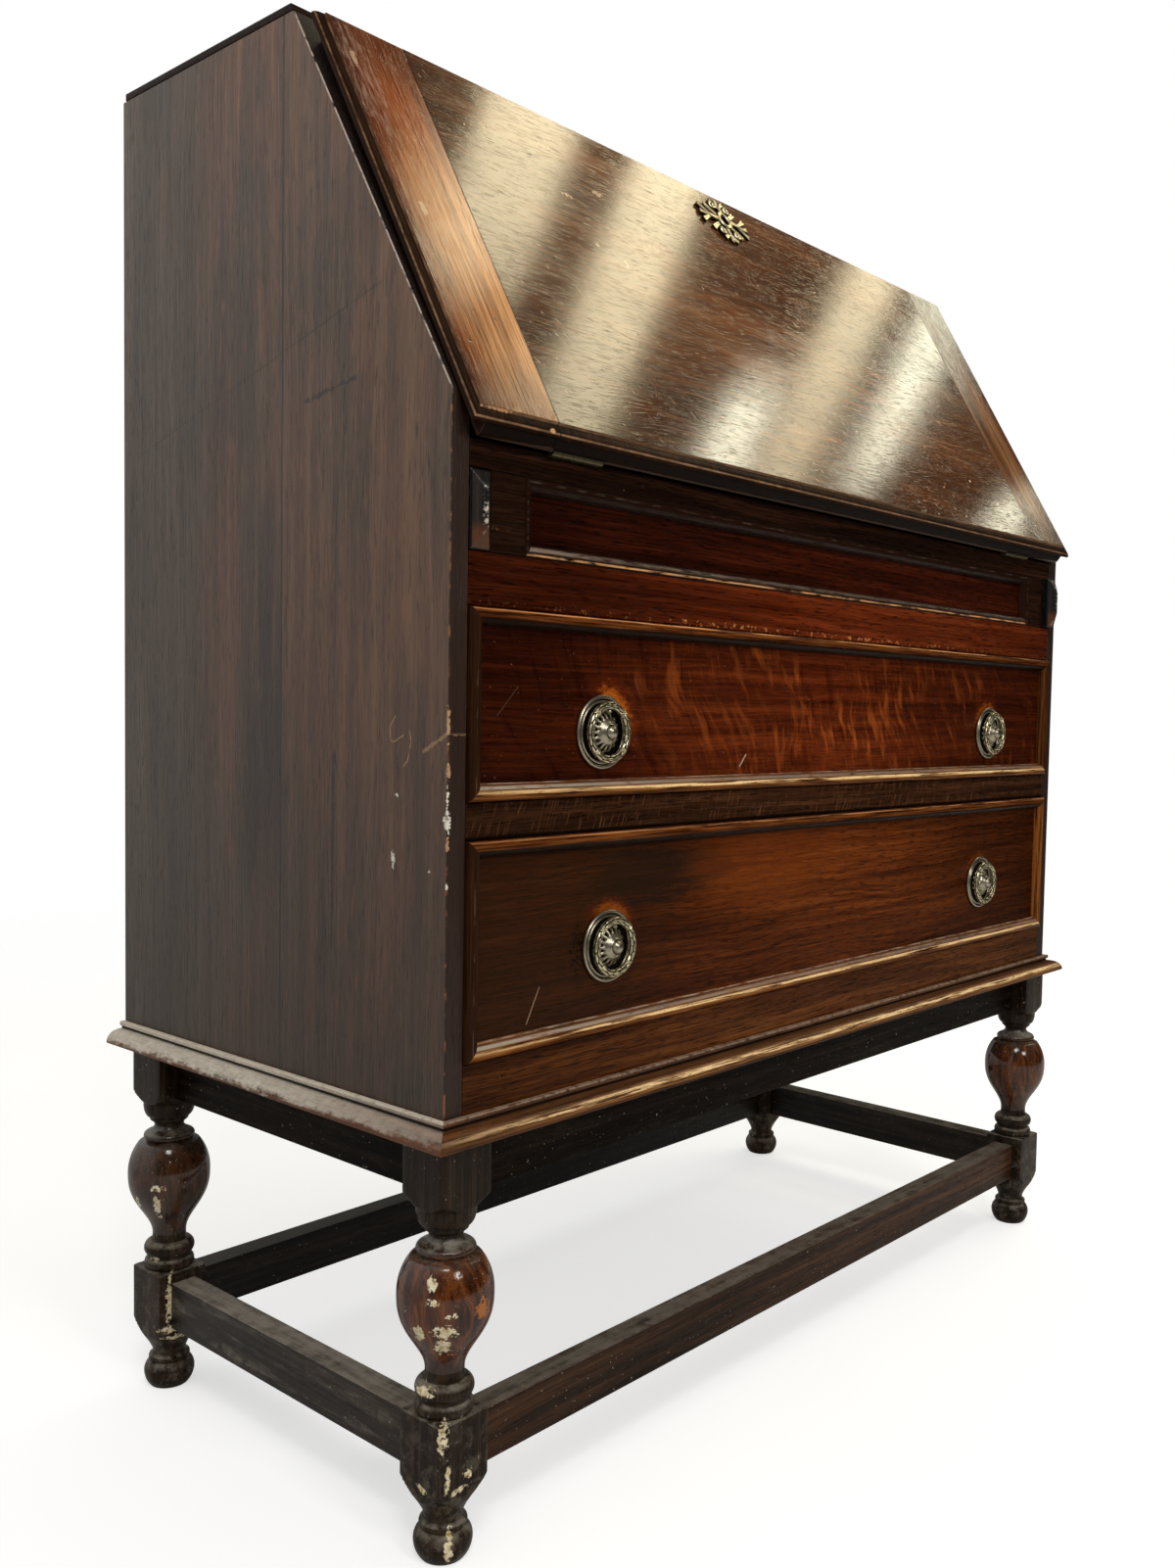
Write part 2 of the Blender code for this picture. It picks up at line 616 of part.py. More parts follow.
def build_stand_rails(stand, oak):
    """Aprons under the carcass and stretchers near the floor, between the leg blocks."""
    half = BLOCK / 2
    x_end = LEG_X - half - GAP
    y_lo = LEG_FRONT + half + GAP
    y_hi = LEG_REAR - half - GAP
    apron_lo = STAND_H - GAP - APRON_H
    apron_hi = STAND_H - GAP
    low = STRETCHER_Z
    high = low + STRETCHER_H
    st = STRETCHER_T / 2
    for word, y, face in (("front", LEG_FRONT, 1), ("rear", LEG_REAR, -1)):
        near = y - face * (half - APRON_SET)
        far = near + face * APRON_T
        lo = (-x_end, min(near, far), apron_lo)
        hi = (x_end, max(near, far), apron_hi)
        piece("apron_" + word, cuboid(lo, hi), oak, stand)
        piece("stretcher_" + word, cuboid((-x_end, y - st, low), (x_end, y + st, high)), oak, stand)
    for word, side in (("left", -1), ("right", 1)):
        x = side * LEG_X
        outer = x + side * (half - APRON_SET)
        inner = outer - side * APRON_T
        lo = (min(outer, inner), y_lo, apron_lo)
        hi = (max(outer, inner), y_hi, apron_hi)
        piece("apron_" + word, cuboid(lo, hi), oak, stand)
        piece("stretcher_" + word, cuboid((x - st, y_lo, low), (x + st, y_hi, high)), oak, stand)


def build_fitting(root, plain):
    """Shelf over two uprights on the writing bed, making three pigeonholes."""
    wide = INNER - GAP
    z_shelf = Z_BED + SHELF_UP
    lo = (-wide, SHELF_FRONT, z_shelf)
    piece("pigeonhole_shelf", cuboid(lo, (wide, BOARD_END, z_shelf + SHELF_T)), plain, root)
    for side, name in ((-1, "upright_left"), (1, "upright_right")):
        x = side * INNER / 3
        lo = (x - UPRIGHT_T / 2, SHELF_FRONT + 0.004, Z_BED + GAP)
        piece(name, cuboid(lo, (x + UPRIGHT_T / 2, BOARD_END, z_shelf - GAP)), plain, root)


def main():
    """Clear the scene, then build the bureau from the floor up."""
    for obj in list(bpy.data.objects):
        bpy.data.objects.remove(obj)
    oak = material("dark_oak", (0.075, 0.040, 0.022), 0.42, 0.0)
    plain = material("plain_oak", (0.170, 0.100, 0.052), 0.60, 0.0)
    brass = material("aged_brass", (0.300, 0.225, 0.120), 0.40, 1.0)
    root = empty("bureau", None, (0.0, -(DEPTH - MOULD_OUT) / 2, 0.0))
    stand = empty("stand", root, (0.0, 0.0, 0.0))
    build_legs(stand, oak)
    build_stand_rails(stand, oak)
    build_base_moulding(root, oak)
    build_sides(root, oak)
    build_top(root, oak)
    build_back(root, plain)
    build_rails(root, oak)
    build_frieze(root, oak)
    build_lopers(root, oak)
    build_fitting(root, plain)
    build_drawers(root, oak, plain, brass)
    fall = empty("fall", root, (0.0, -PIN_OUT, PIN_Z), FALL_ANGLE)
    panel = build_fall(fall, oak)
    build_lock(fall, panel, brass)
    build_hinges(root, fall, brass)


main()
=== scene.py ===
"""Looks of the drop-front bureau: worn dark oak, aged brass, and the photograph's camera."""
import functools
import math

import bmesh
import bpy
from mathutils import Matrix, Vector


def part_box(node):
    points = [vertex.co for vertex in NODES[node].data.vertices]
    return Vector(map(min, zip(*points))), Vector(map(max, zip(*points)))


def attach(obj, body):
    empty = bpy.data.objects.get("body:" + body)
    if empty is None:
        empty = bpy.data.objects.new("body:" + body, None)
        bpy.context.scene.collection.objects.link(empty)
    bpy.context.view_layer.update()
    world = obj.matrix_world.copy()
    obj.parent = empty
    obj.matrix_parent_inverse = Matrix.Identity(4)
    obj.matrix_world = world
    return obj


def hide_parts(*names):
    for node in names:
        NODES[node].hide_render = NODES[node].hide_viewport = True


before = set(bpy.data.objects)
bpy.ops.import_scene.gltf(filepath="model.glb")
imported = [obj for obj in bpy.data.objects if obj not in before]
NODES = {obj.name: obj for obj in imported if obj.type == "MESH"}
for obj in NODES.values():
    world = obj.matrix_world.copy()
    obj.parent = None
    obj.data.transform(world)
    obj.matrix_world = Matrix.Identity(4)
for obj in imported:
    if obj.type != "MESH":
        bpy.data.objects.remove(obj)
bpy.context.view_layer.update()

# The fall: its hinge pin, its slope, its half width and the joint between panel and cleats
PIN = Vector((0, -0.19785, 0.7445))
SLOPE = math.radians(60.19)
FALL_HALF = 0.4405
CLEAT_JOINT = 0.363

# The carcass: its front, its half width, and the foot and lean of the slanted front edges
FRONT = -0.19425
SIDE_X = 0.4445
SLANT_FOOT = 0.7725
SLANT = math.radians(58.84)

# The drawers: half width, middle and half height of each, and the middle of the right handle of each
DRAWER_HALF = 0.428
DRAWER_Z = {"upper": (0.5736, 0.0632), "lower": (0.4117, 0.0729)}
HANDLES = {"upper": (0.298, 0.5559), "lower": (0.288, 0.4005)}

# The base moulding: its foot, its head and its rear ends
MOULD_LO, MOULD_HI = 0.2883, 0.3048
MOULD_END = 0.21075


def operator(kind):
    """Method that adds a Math node on a value and a second one."""
    return lambda self, other: math_node(self.tree, kind, self, other)


class Val:
    """Output of a shader node; arithmetic on it adds Math nodes."""

    __add__ = __radd__ = operator('ADD')
    __sub__ = operator('SUBTRACT')
    __mul__ = __rmul__ = operator('MULTIPLY')
    __truediv__ = operator('DIVIDE')
    power = operator('POWER')
    both = operator('MINIMUM')
    either = operator('MAXIMUM')

    def __init__(self, tree, socket):
        self.tree = tree
        self.socket = socket

    def __rsub__(self, other):
        return math_node(self.tree, 'SUBTRACT', other, self)

    def mag(self):
        return math_node(self.tree, 'ABSOLUTE', self)

    def sin(self):
        return math_node(self.tree, 'SINE', self)

    def mapped(self, lo, hi, kind='LINEAR'):
        """Rise from 0 at lo to 1 at hi, which may be the lower of the two."""
        node = self.tree.nodes.new('ShaderNodeMapRange')
        node.interpolation_type = kind
        feed(self.tree, node.inputs['Value'], self)
        node.inputs['From Min'].default_value = lo
        node.inputs['From Max'].default_value = hi
        return Val(self.tree, node.outputs['Result'])

    def step(self, lo, hi):
        """Smooth rise from 0 at lo to 1 at hi."""
        return self.mapped(lo, hi, 'SMOOTHSTEP')

    def band(self, lo, hi, soft):
        """1 between two values and 0 outside them, with soft edges."""
        return self.step(lo - soft, lo + soft) * self.step(hi + soft, hi - soft)

    def curve(self, *stops):
        """Straight lines through (place, value) points, read from a colour ramp."""
        lo, hi = stops[0][0], stops[-1][0]
        return self.mapped(lo, hi).ramp(*[((p - lo) / (hi - lo), (v, v, v)) for p, v in stops])

    def ramp(self, *stops):
        """Colours blended between (place, colour) stops."""
        node = self.tree.nodes.new('ShaderNodeValToRGB')
        line = node.color_ramp
        while len(line.elements) < len(stops):
            line.elements.new(0.5)
        for element, (place, colour) in zip(line.elements, stops):
            element.position = place
            element.color = (*colour, 1)
        feed(self.tree, node.inputs['Fac'], self)
        return Val(self.tree, node.outputs['Color'])

    def toward(self, other, share):
        """This colour mixed toward another by a share."""
        return blend_node(self.tree, 'MIX', share, self, other)

    def tint(self, other, share=1):
        """This colour multiplied by another."""
        return blend_node(self.tree, 'MULTIPLY', share, self, other)


def any_of(marks):
    """The strongest of several marks at each place."""
    return functools.reduce(Val.either, marks)


def oval(a, b, centre, semi):
    """Distance from a centre, squared and counted in half widths and half heights."""
    da = (a - centre[0]) / semi[0]
    db = (b - centre[1]) / semi[1]
    return da * da + db * db


def feed(tree, socket, value):
    """Link a node's output to a socket, or set the socket's own number or colour."""
    if isinstance(value, Val):
        tree.links.new(value.socket, socket)
    elif isinstance(value, (tuple, list)) and len(value) == 3 and socket.type == 'RGBA':
        socket.default_value = (*value, 1)
    else:
        socket.default_value = value


def math_node(tree, operation, *values):
    node = tree.nodes.new('ShaderNodeMath')
    node.operation = operation
    for socket, value in zip(node.inputs, values):
        feed(tree, socket, value)
    return Val(tree, node.outputs[0])


def blend_node(tree, kind, share, a, b):
    node = tree.nodes.new('ShaderNodeMix')
    node.data_type = 'RGBA'
    node.blend_type = kind
    feed(tree, node.inputs[0], share)
    feed(tree, node.inputs[6], a)
    feed(tree, node.inputs[7], b)
    return Val(tree, node.outputs[2])


class Surface:
    """A material under construction: coordinates, textures and the Principled shader."""

    def __init__(self, name):
        self.mat = bpy.data.materials.new(name)
        self.mat.use_nodes = True
        self.tree = self.mat.node_tree
        self.shader = self.tree.nodes["Principled BSDF"]
        place = self.tree.nodes.new('ShaderNodeTexCoord')
        split = self.tree.nodes.new('ShaderNodeSeparateXYZ')
        self.tree.links.new(place.outputs['Object'], split.inputs[0])
        self.x, self.y, self.z = (Val(self.tree, s) for s in split.outputs)

    def facing(self):
        """The three parts of the surface's normal."""
        node = self.tree.nodes.new('ShaderNodeNewGeometry')
        split = self.tree.nodes.new('ShaderNodeSeparateXYZ')
        self.tree.links.new(node.outputs['Normal'], split.inputs[0])
        return [Val(self.tree, s) for s in split.outputs]

    def vec(self, a, b, c):
        node = self.tree.nodes.new('ShaderNodeCombineXYZ')
        for socket, value in zip(node.inputs, (a, b, c)):
            feed(self.tree, socket, value)
        return Val(self.tree, node.outputs[0])

    def noise(self, a, b, c, detail=2, rough=0.5, bend=0):
        """Noise at the given coordinates, about 0.5 in the mean."""
        node = self.tree.nodes.new('ShaderNodeTexNoise')
        feed(self.tree, node.inputs['Vector'], self.vec(a, b, c))
        node.inputs['Scale'].default_value = 1
        node.inputs['Detail'].default_value = detail
        node.inputs['Roughness'].default_value = rough
        node.inputs['Distortion'].default_value = bend
        return Val(self.tree, node.outputs['Fac'])

    def even(self, scale, detail=2, rough=0.5, seed=0):
        """Noise alike in all directions."""
        return self.noise(self.x * scale + seed, self.y * scale, self.z * scale, detail, rough)

    def grain(self, along, across, detail=2, rough=0.5):
        """Noise drawn out along the grain that oak() has laid."""
        a, b, c = self.run
        return self.noise(a * along, b * across, c * across, detail, rough)

    def grit(self, scale, lo, hi, seed=0):
        """Even speckle, cut off between lo and hi."""
        return self.even(scale, 3, 0.6, seed).step(lo, hi)

    def spot(self, a, b, centre, semi, ragged=0.35, scale=220):
        """Ragged oval patch in two coordinates, 1 inside and 0 outside."""
        edge = self.even(scale, 3, 0.65) - 0.5
        return (oval(a, b, centre, semi) + edge * (ragged * 4)).step(1.25, 0.75)

    def streak(self, a, b, start, end, width, ragged=0.5):
        """Thin straight mark between two points of a plane."""
        dx = end[0] - start[0]
        dz = end[1] - start[1]
        size = math.hypot(dx, dz)
        along = ((a - start[0]) * (dx / size) + (b - start[1]) * (dz / size)) / size
        off = (a - start[0]) * (-dz / size) + (b - start[1]) * (dx / size)
        broken = self.even(260, 2) - 0.5
        thin = (off.mag() + broken * (width * ragged * 2)).step(width, width * 0.4)
        return thin.both(((along - 0.5).mag()).step(0.5, 0.46))

    def bump(self, height, distance, strength=1):
        """Normal that follows a height."""
        node = self.tree.nodes.new('ShaderNodeBump')
        node.inputs['Strength'].default_value = strength
        node.inputs['Distance'].default_value = distance
        feed(self.tree, node.inputs['Height'], height)
        return Val(self.tree, node.outputs['Normal'])

    def lay(self, colour, share):
        """Mix the surface's colour toward another by a share."""
        self.colour = self.colour.toward(colour, share)

    def tint(self, colour, share=1):
        """Multiply the surface's colour by another."""
        self.colour = self.colour.tint(colour, share)

    def finish(self, rough, normal=None, metal=0, **others):
        """Give the shader its colour, roughness and the rest, and return the material."""
        shader = self.shader
        feed(self.tree, shader.inputs['Base Color'], self.colour)
        feed(self.tree, shader.inputs['Roughness'], rough)
        shader.inputs['Metallic'].default_value = metal
        if normal is not None:
            feed(self.tree, shader.inputs['Normal'], normal)
        for key, value in others.items():
            shader.inputs[key.replace('_', ' ')].default_value = value
        return self.mat

    def polish(self, rough, shine, depth=0.0005, strength=0.7):
        """Finish of wood: its height as relief, and how strongly it mirrors."""
        return self.finish(rough, self.bump(self.height, depth, strength), Specular_IOR_Level=shine)


def oak(s, along, across, depth, seed, dark, mid, light, ring=150, contrast=1, pores=0.55):
    """Lay oak on a surface: slow streaks, growth lines, fine lines and dark pores.

    Sets the surface's run of the grain, tone, colour and height.
    """
    s.run = (along, across, depth)
    slow = s.noise(along * 1.7 + seed, across * 9, depth * 9 + seed, 3)
    warp = across + (slow - 0.5) * 0.03
    lines = s.noise(along * 3.2 + seed, warp * ring, depth * ring, 4, 0.6)
    fine = s.noise(along * 16, warp * 820, depth * 820 + seed, 2)
    pore = s.noise(along * 52 + seed, warp * 1250, depth * 1250, 1).step(0.6, 0.72)
    s.tone = (slow - 0.5) * (0.75 * contrast) + (lines - 0.5) * (1.1 * contrast) + (fine - 0.5) * 0.55 + 0.5
    s.colour = s.tone.ramp((0.18, dark), (0.5, mid), (0.82, light))
    s.lay(tuple(c * 0.28 for c in dark), pore * pores)
    s.height = fine * 0.35 + lines * 0.25 - pore * 0.8


def trail(s, a, b, points, width, ragged=0.5):
    """Thin mark along a chain of points."""
    return any_of([s.streak(a, b, start, end, width, ragged) for start, end in zip(points, points[1:])])


def flakes(s, a, b, places, scale=300):
    """Flaky patches round places, each (a, b, half width, half height) in millimetres."""
    grain = s.even(scale, 4, 0.7) - 0.5
    metres = [[v / 1000 for v in place] for place in places]
    mask = any_of([1 - oval(a, b, place[:2], place[2:]) for place in metres])
    return (mask.either(-1.2) * 0.8 + grain * 3.8).step(0.36, 0.48)


def link(obj):
    bpy.context.scene.collection.objects.link(obj)
    return obj


def solid(name, bm, mat, body, angle=38, nodes=()):
    """Piece made from a finished bmesh, riding on a body and standing for CAD nodes."""
    bmesh.ops.recalc_face_normals(bm, faces=bm.faces)
    mesh = bpy.data.meshes.new(name)
    bm.to_mesh(mesh)
    bm.free()
    mesh.materials.append(mat)
    mesh.shade_smooth()
    mesh.set_sharp_from_angle(angle=math.radians(angle))
    obj = link(bpy.data.objects.new(name, mesh))
    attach(obj, body)
    if nodes:
        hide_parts(*nodes)
    return obj


def skin(bm, rings, closed=False):
    """Faces over rings of points, capped at both ends or closed on themselves."""
    if not closed:
        bm.faces.new(rings[0])
        bm.faces.new(rings[-1])
    following = rings[1:] + rings[:1] if closed else rings[1:]
    for low, high in zip(rings, following):
        for i in range(len(low)):
            j = (i + 1) % len(low)
            bm.faces.new((low[i], low[j], high[j], high[i]))


def loft(loops, closed=False):
    """Solid over outlines of equal length."""
    bm = bmesh.new()
    skin(bm, [[bm.verts.new(p) for p in loop] for loop in loops], closed)
    return bm


def arc(centre, semi, start, end, steps):
    """Points on an ellipse between two angles in degrees, both ends kept."""
    points = []
    for i in range(steps + 1):
        a = math.radians(start + (end - start) * i / steps)
        points.append((centre[0] + semi[0] * math.cos(a), centre[1] + semi[1] * math.sin(a)))
    return points


# Camera of the photograph: lengths in pixels, angles in radians, place in metres
FOCAL = 1397.199
CENTRE = (652.625, 804.671)
YAW, PITCH, ROLL = 0.855155, -0.054762, 0.01856
EYE = Vector((-1.020846, -0.856957, 0.570037))
IMAGE_H = 1601
IMAGE_W = 1200


def make_camera():
    """Camera that was solved on the straight edges of the photograph."""
    data = bpy.data.cameras.new("camera")
    camera = link(bpy.data.objects.new("camera", data))
    ahead = Vector((math.sin(YAW) * math.cos(PITCH), math.cos(YAW) * math.cos(PITCH), math.sin(PITCH)))
    level = Vector((math.cos(YAW), -math.sin(YAW), 0))
    upright = level.cross(ahead)
    right = math.cos(ROLL) * level + math.sin(ROLL) * upright
    up = -math.sin(ROLL) * level + math.cos(ROLL) * upright
    turn = Matrix((right, up, -ahead)).transposed().to_4x4()
    camera.matrix_world = Matrix.Translation(EYE) @ turn
    data.sensor_width = 32.02
    data.lens = FOCAL / IMAGE_H * data.sensor_width
    data.shift_x = (IMAGE_W / 2 - CENTRE[0]) / IMAGE_H
    data.shift_y = (CENTRE[1] - IMAGE_H / 2) / IMAGE_H
    data.clip_start = 0.01
    data.clip_end = 100
    bpy.context.scene.camera = camera


def area_light(name, place, target, size, radiance, colour):
    """Soft rectangular lamp of a given brightness, aimed at a point and not seen itself."""
    data = bpy.data.lights.new(name, 'AREA')
    data.shape = 'RECTANGLE'
    data.size, data.size_y = size
    data.energy = radiance * math.pi * size[0] * size[1]
    data.color = colour
    lamp = link(bpy.data.objects.new(name, data))
    lamp.location = place
    aim = (Vector(target) - Vector(place)).normalized()
    lamp.rotation_euler = aim.to_track_quat('-Z', 'Y').to_euler()
    lamp.visible_camera = False
    return lamp


def make_lights():
    """Ceiling strips that the fall mirrors, two broad lamps before the front and a pale room."""
    warm = (1, 0.87, 0.56)
    pale = (1, 0.97, 0.73)
    strips = [("strip_a", 1.405, 0.08, 0.31, 1.1, 6.2, warm),
              ("strip_b", 1.927, -0.15, 0.3, 1.5, 6.2, warm),
              ("strip_c", 2.998, -0.15, 0.29, 1.7, 4.2, warm),
              ("strip_d", 3.495, -0.05, 0.24, 1.4, 6.5, pale),
              ("strip_e", 2.66, -0.85, 0.24, 0.7, 9, pale), ("strip_f", 4.7, -0.95, 0.26, 0.8, 7, pale)]
    for name, x, y, wide, long, level, colour in strips:
        lamp = area_light(name, (x, y, 3), (x, y, 0), (wide, long), level, colour)
        lamp.rotation_euler = (0, 0, 0)
    area_light("key_left", (-1.45, -1.45, 2.6), (0, 0, 0.6), (0.6, 0.6), 18, (1, 0.97, 0.93))
    area_light("key_front", (-0.65, -2.9, 2.1), (0, 0, 0.6), (0.6, 0.6), 20, (1, 0.97, 0.93))
    world = bpy.data.worlds.new("room")
    world.use_nodes = True
    bpy.context.scene.world = world
    tree = world.node_tree
    place = tree.nodes.new('ShaderNodeTexCoord')
    split = tree.nodes.new('ShaderNodeSeparateXYZ')
    tree.links.new(place.outputs['Generated'], split.inputs[0])
    x, y, z = (Val(tree, s) for s in split.outputs)
    path = tree.nodes.new('ShaderNodeLightPath')
    seen = Val(tree, path.outputs['Is Camera Ray'])
    mirrored = Val(tree, path.outputs['Is Glossy Ray'])
    wall = (y * 0.8 - x * 0.6).step(-0.05, 0.8)
    room = wall * (0.58 + z * 0.5) + 0.015 + z.step(0.3, 1) * 0.05
    level = mirrored * room + (1 - mirrored) * 0.52
    level = seen + (1 - seen) * level
    feed(tree, tree.nodes["Background"].inputs['Strength'], level)
    tree.nodes["Background"].inputs['Color'].default_value = (1, 1, 1, 1)


def make_floor():
    """Pale round floor that keeps the shadow and fades into the white room at its rim."""
    s = Surface("pale_floor")
    reach = (s.x * s.x + s.y * s.y).power(0.5)
    cloud = s.noise(s.x * 3, s.y * 3, 0, 2)
    s.colour = cloud.ramp((0.3, (0.6, 0.6, 0.59)), (0.7, (0.63, 0.63, 0.62)))
    path = s.tree.nodes.new('ShaderNodeLightPath')
    seen = Val(s.tree, path.outputs['Is Camera Ray'])
    s.finish(0.9, Specular_IOR_Level=0)
    s.shader.inputs['Emission Color'].default_value = (1, 1, 1, 1)
    feed(s.tree, s.shader.inputs['Emission Strength'], seen * 0.58)
    feed(s.tree, s.shader.inputs['Alpha'], reach.step(3.2, 1))
    bm = bmesh.new()
    bmesh.ops.create_circle(bm, cap_ends=True, segments=96, radius=3.3)
    mesh = bpy.data.meshes.new("floor")
    bm.to_mesh(mesh)
    bm.free()
    mesh.materials.append(s.mat)
    floor = link(bpy.data.objects.new("floor", mesh))
    floor.location = (0, 0, -0.0002)


def paint(mat, *nodes):
    """Give CAD nodes a material of their own."""
    for name in nodes:
        NODES[name].data.materials.clear()
        NODES[name].data.materials.append(mat)


def soften(width, *nodes):
    """Round the sharp arrises of CAD nodes a little with modifiers."""
    for name in nodes:
        obj = NODES[name]
        weld = obj.modifiers.new("weld", 'WELD')
        weld.merge_threshold = 0.00001
        bevel = obj.modifiers.new("arris", 'BEVEL')
        bevel.width = width
        bevel.segments = 2
        bevel.limit_method = 'ANGLE'
        bevel.angle_limit = math.radians(35)
        even = obj.modifiers.new("even", 'WEIGHTED_NORMAL')
        even.keep_sharp = False


def side_oak(name, marked):
    """Upright side boards: grey with polish, reddish in the middle, stained along their joint, painted
    lighter towards the top and darker towards the bottom, and painted near black on the slanted front edge as
    shadow under the fall.
    """
    s = Surface(name)
    join = -0.012
    oak(s, s.z, s.y, s.x, 3, (0.022, 0.013, 0.0062), (0.049, 0.03, 0.015), (0.084, 0.055, 0.031), 120,
        0.95, 0.8)
    red = s.tone.ramp((0.18, (0.046, 0.017, 0.0064)), (0.5, (0.096, 0.04, 0.0165)),
                      (0.82, (0.158, 0.071, 0.031)))
    zone = s.y.curve((-0.195, 0.55), (-0.15, 0.8), (-0.06, 0.75), (-0.013, 0.55), (0, 0.9), (0.07, 0.75),
                     (0.11, 0.15), (0.21, 0))
    patch = s.noise(s.z * 3, s.y * 11, 2, 3, 0.6).step(0.3, 0.58)
    s.lay(red, zone * patch)
    dash = s.grain(40, 470).step(0.56, 0.7)
    s.lay((0.185, 0.066, 0.026), dash * (zone * 0.45 + 0.12))
    knock = s.grain(45, 330, 3, 0.6).step(0.58, 0.7)
    s.lay((0.007, 0.005, 0.003), knock * 0.6)
    # Painted light and shade: the boards are made lighter towards the top and darker towards the bottom, as
    # light falls from above.
    s.tint(s.z.curve((0.29, 0.6), (0.42, 0.86), (0.62, 1.15), (0.8, 1.3), (1.06, 1.75)))
    stain = s.noise(s.z * 4, s.y * 16, 5, 4, 0.6).step(0.5, 0.72)
    s.lay((0.018, 0.012, 0.007), stain * 0.5)
    seam = (s.y - join + (s.noise(s.z * 30, 0, 0) - 0.5) * 0.0008).mag().step(0.0016, 0.0004)
    s.lay((0.006, 0.004, 0.003), seam * 0.85)
    s.tint(1 - s.y.step(join - 0.0006, join + 0.0006) * s.y.step(0.1, 0.02) * 0.12)
    front = s.y.step(FRONT + 0.0009, FRONT + 0.0003)
    corner = (s.y - FRONT) + (SIDE_X - s.x.mag())
    inward = (s.y - FRONT) * math.sin(SLANT) - (s.z - SLANT_FOOT) * math.cos(SLANT)
    rub = s.grain(110, 110, 3, 0.6)
    s.lay((0.02, 0.0065, 0.0024), front * 0.9)
    s.lay((0.24, 0.09, 0.026), corner.step(0.0015, 0.0005) * rub.step(0.49, 0.62) * 0.8)
    # Painted shadow: the slanted front edge is painted near black, as shade under the overhanging fall; its
    # outer arris is rubbed pale.
    slant = inward.step(0.0011, 0.0004) * s.z.step(0.768, 0.776)
    outer = (SIDE_X - s.x.mag()).step(0.0012, 0.0007)
    s.lay((0.007, 0.004, 0.003), slant * 0.95)
    s.lay((0.46, 0.37, 0.29), slant * outer * rub.step(0.34, 0.5) * 0.9)
    if marked:
        behind = s.y.step(join - 0.0006, join + 0.0006) * s.y.step(0.062, 0.012)
        run = behind * s.z.curve((0.42, 0), (0.49, 0.8), (0.62, 1), (0.72, 0.6), (0.79, 0))
        runny = s.noise(s.z * 7, s.y * 85, 3, 4, 0.6)
        s.lay((0.02, 0.0095, 0.0045), run * runny.step(0.34, 0.56) * 0.8)
        damp = s.noise(s.z * 14, s.y * 90, 1, 4).step(0.4, 0.62)
        moss = s.y.step(0.17, 0.21) * s.z.step(0.8, 0.45) * damp
        s.lay((0.085, 0.068, 0.028), moss * 0.5)
        cracks = (((-0.0751, 0.5425), (-0.0732, 0.4), 0.002, 1, 1),
                  ((0.0709, 0.4457), (0.072, 0.3568), 0.0017, 1, 0.7),
                  ((-0.073, 0.7392), (-0.0724, 0.6927), 0.0008, 1, 0.7),
                  ((0.19, 0.769), (-0.13, 0.852), 0.0008, 1.4, 0.7),
                  ((-0.0375, 0.7824), (-0.0984, 0.7925), 0.0018, 2.2, 1))
        crack = any_of([s.streak(s.y, s.z, *line) * share for *line, share in cracks])
        s.lay((0.007, 0.006, 0.006), crack * 0.8)
        hook = ((-0.142, 0.5655), (-0.136, 0.558), (-0.1369, 0.549), (-0.1405, 0.548), (-0.1507, 0.553))
        tail = ((-0.1562, 0.556), (-0.158, 0.549), (-0.1545, 0.536), (-0.15, 0.532))
        dash = s.streak(s.y, s.z, (-0.169, 0.542), (-0.1945, 0.555), 0.0016, 1) * 0.8
        curl = any_of([trail(s, s.y, s.z, hook, 0.0006), trail(s, s.y, s.z, tail, 0.0006, 1.2), dash])
        s.lay((0.36, 0.21, 0.085), curl * 0.8)
        fleck = flakes(s, s.y, s.z, ((-140, 471, 3, 7.5), (-144, 513, 1.8, 2.2), (-177, 465.1, 1.8, 1.8)))
        chip = flakes(s, corner, s.z, ((0.4, 498.5, 3.6, 8.5), (0, 512.5, 1.8, 9), (0, 457, 1.4, 3)))
        s.lay((0.74, 0.68, 0.57), fleck.either(chip))
        worn = flakes(s, corner, s.z, ((0, 529, 2.8, 8), (0, 483, 2, 7), (0, 560, 2.2, 14)))
        s.lay((0.52, 0.32, 0.16), worn * 0.8)
    cloud = s.grain(7, 14, 4, 0.6)
    rough = cloud * 0.26 + 0.22 + front * 0.1
    return s.finish(rough, s.bump(s.height, 0.0006, 0.8))


def slope_place(y, z):
    """Way up the slope of the fall, and way out of its face, of a place in the frame."""
    dy = y - PIN.y
    dz = z - PIN.z
    u = dy * math.cos(SLOPE) + dz * math.sin(SLOPE)
    out = dz * math.cos(SLOPE) - dy * math.sin(SLOPE)
    return u, out


def fall_place(s):
    """Coordinates of the fall: up the slope, out of the face, off the middle and in from the edge."""
    u, out = slope_place(s.y, s.z)
    wide = s.x.mag()
    return u, out, wide, u.both(FALL_HALF - wide)


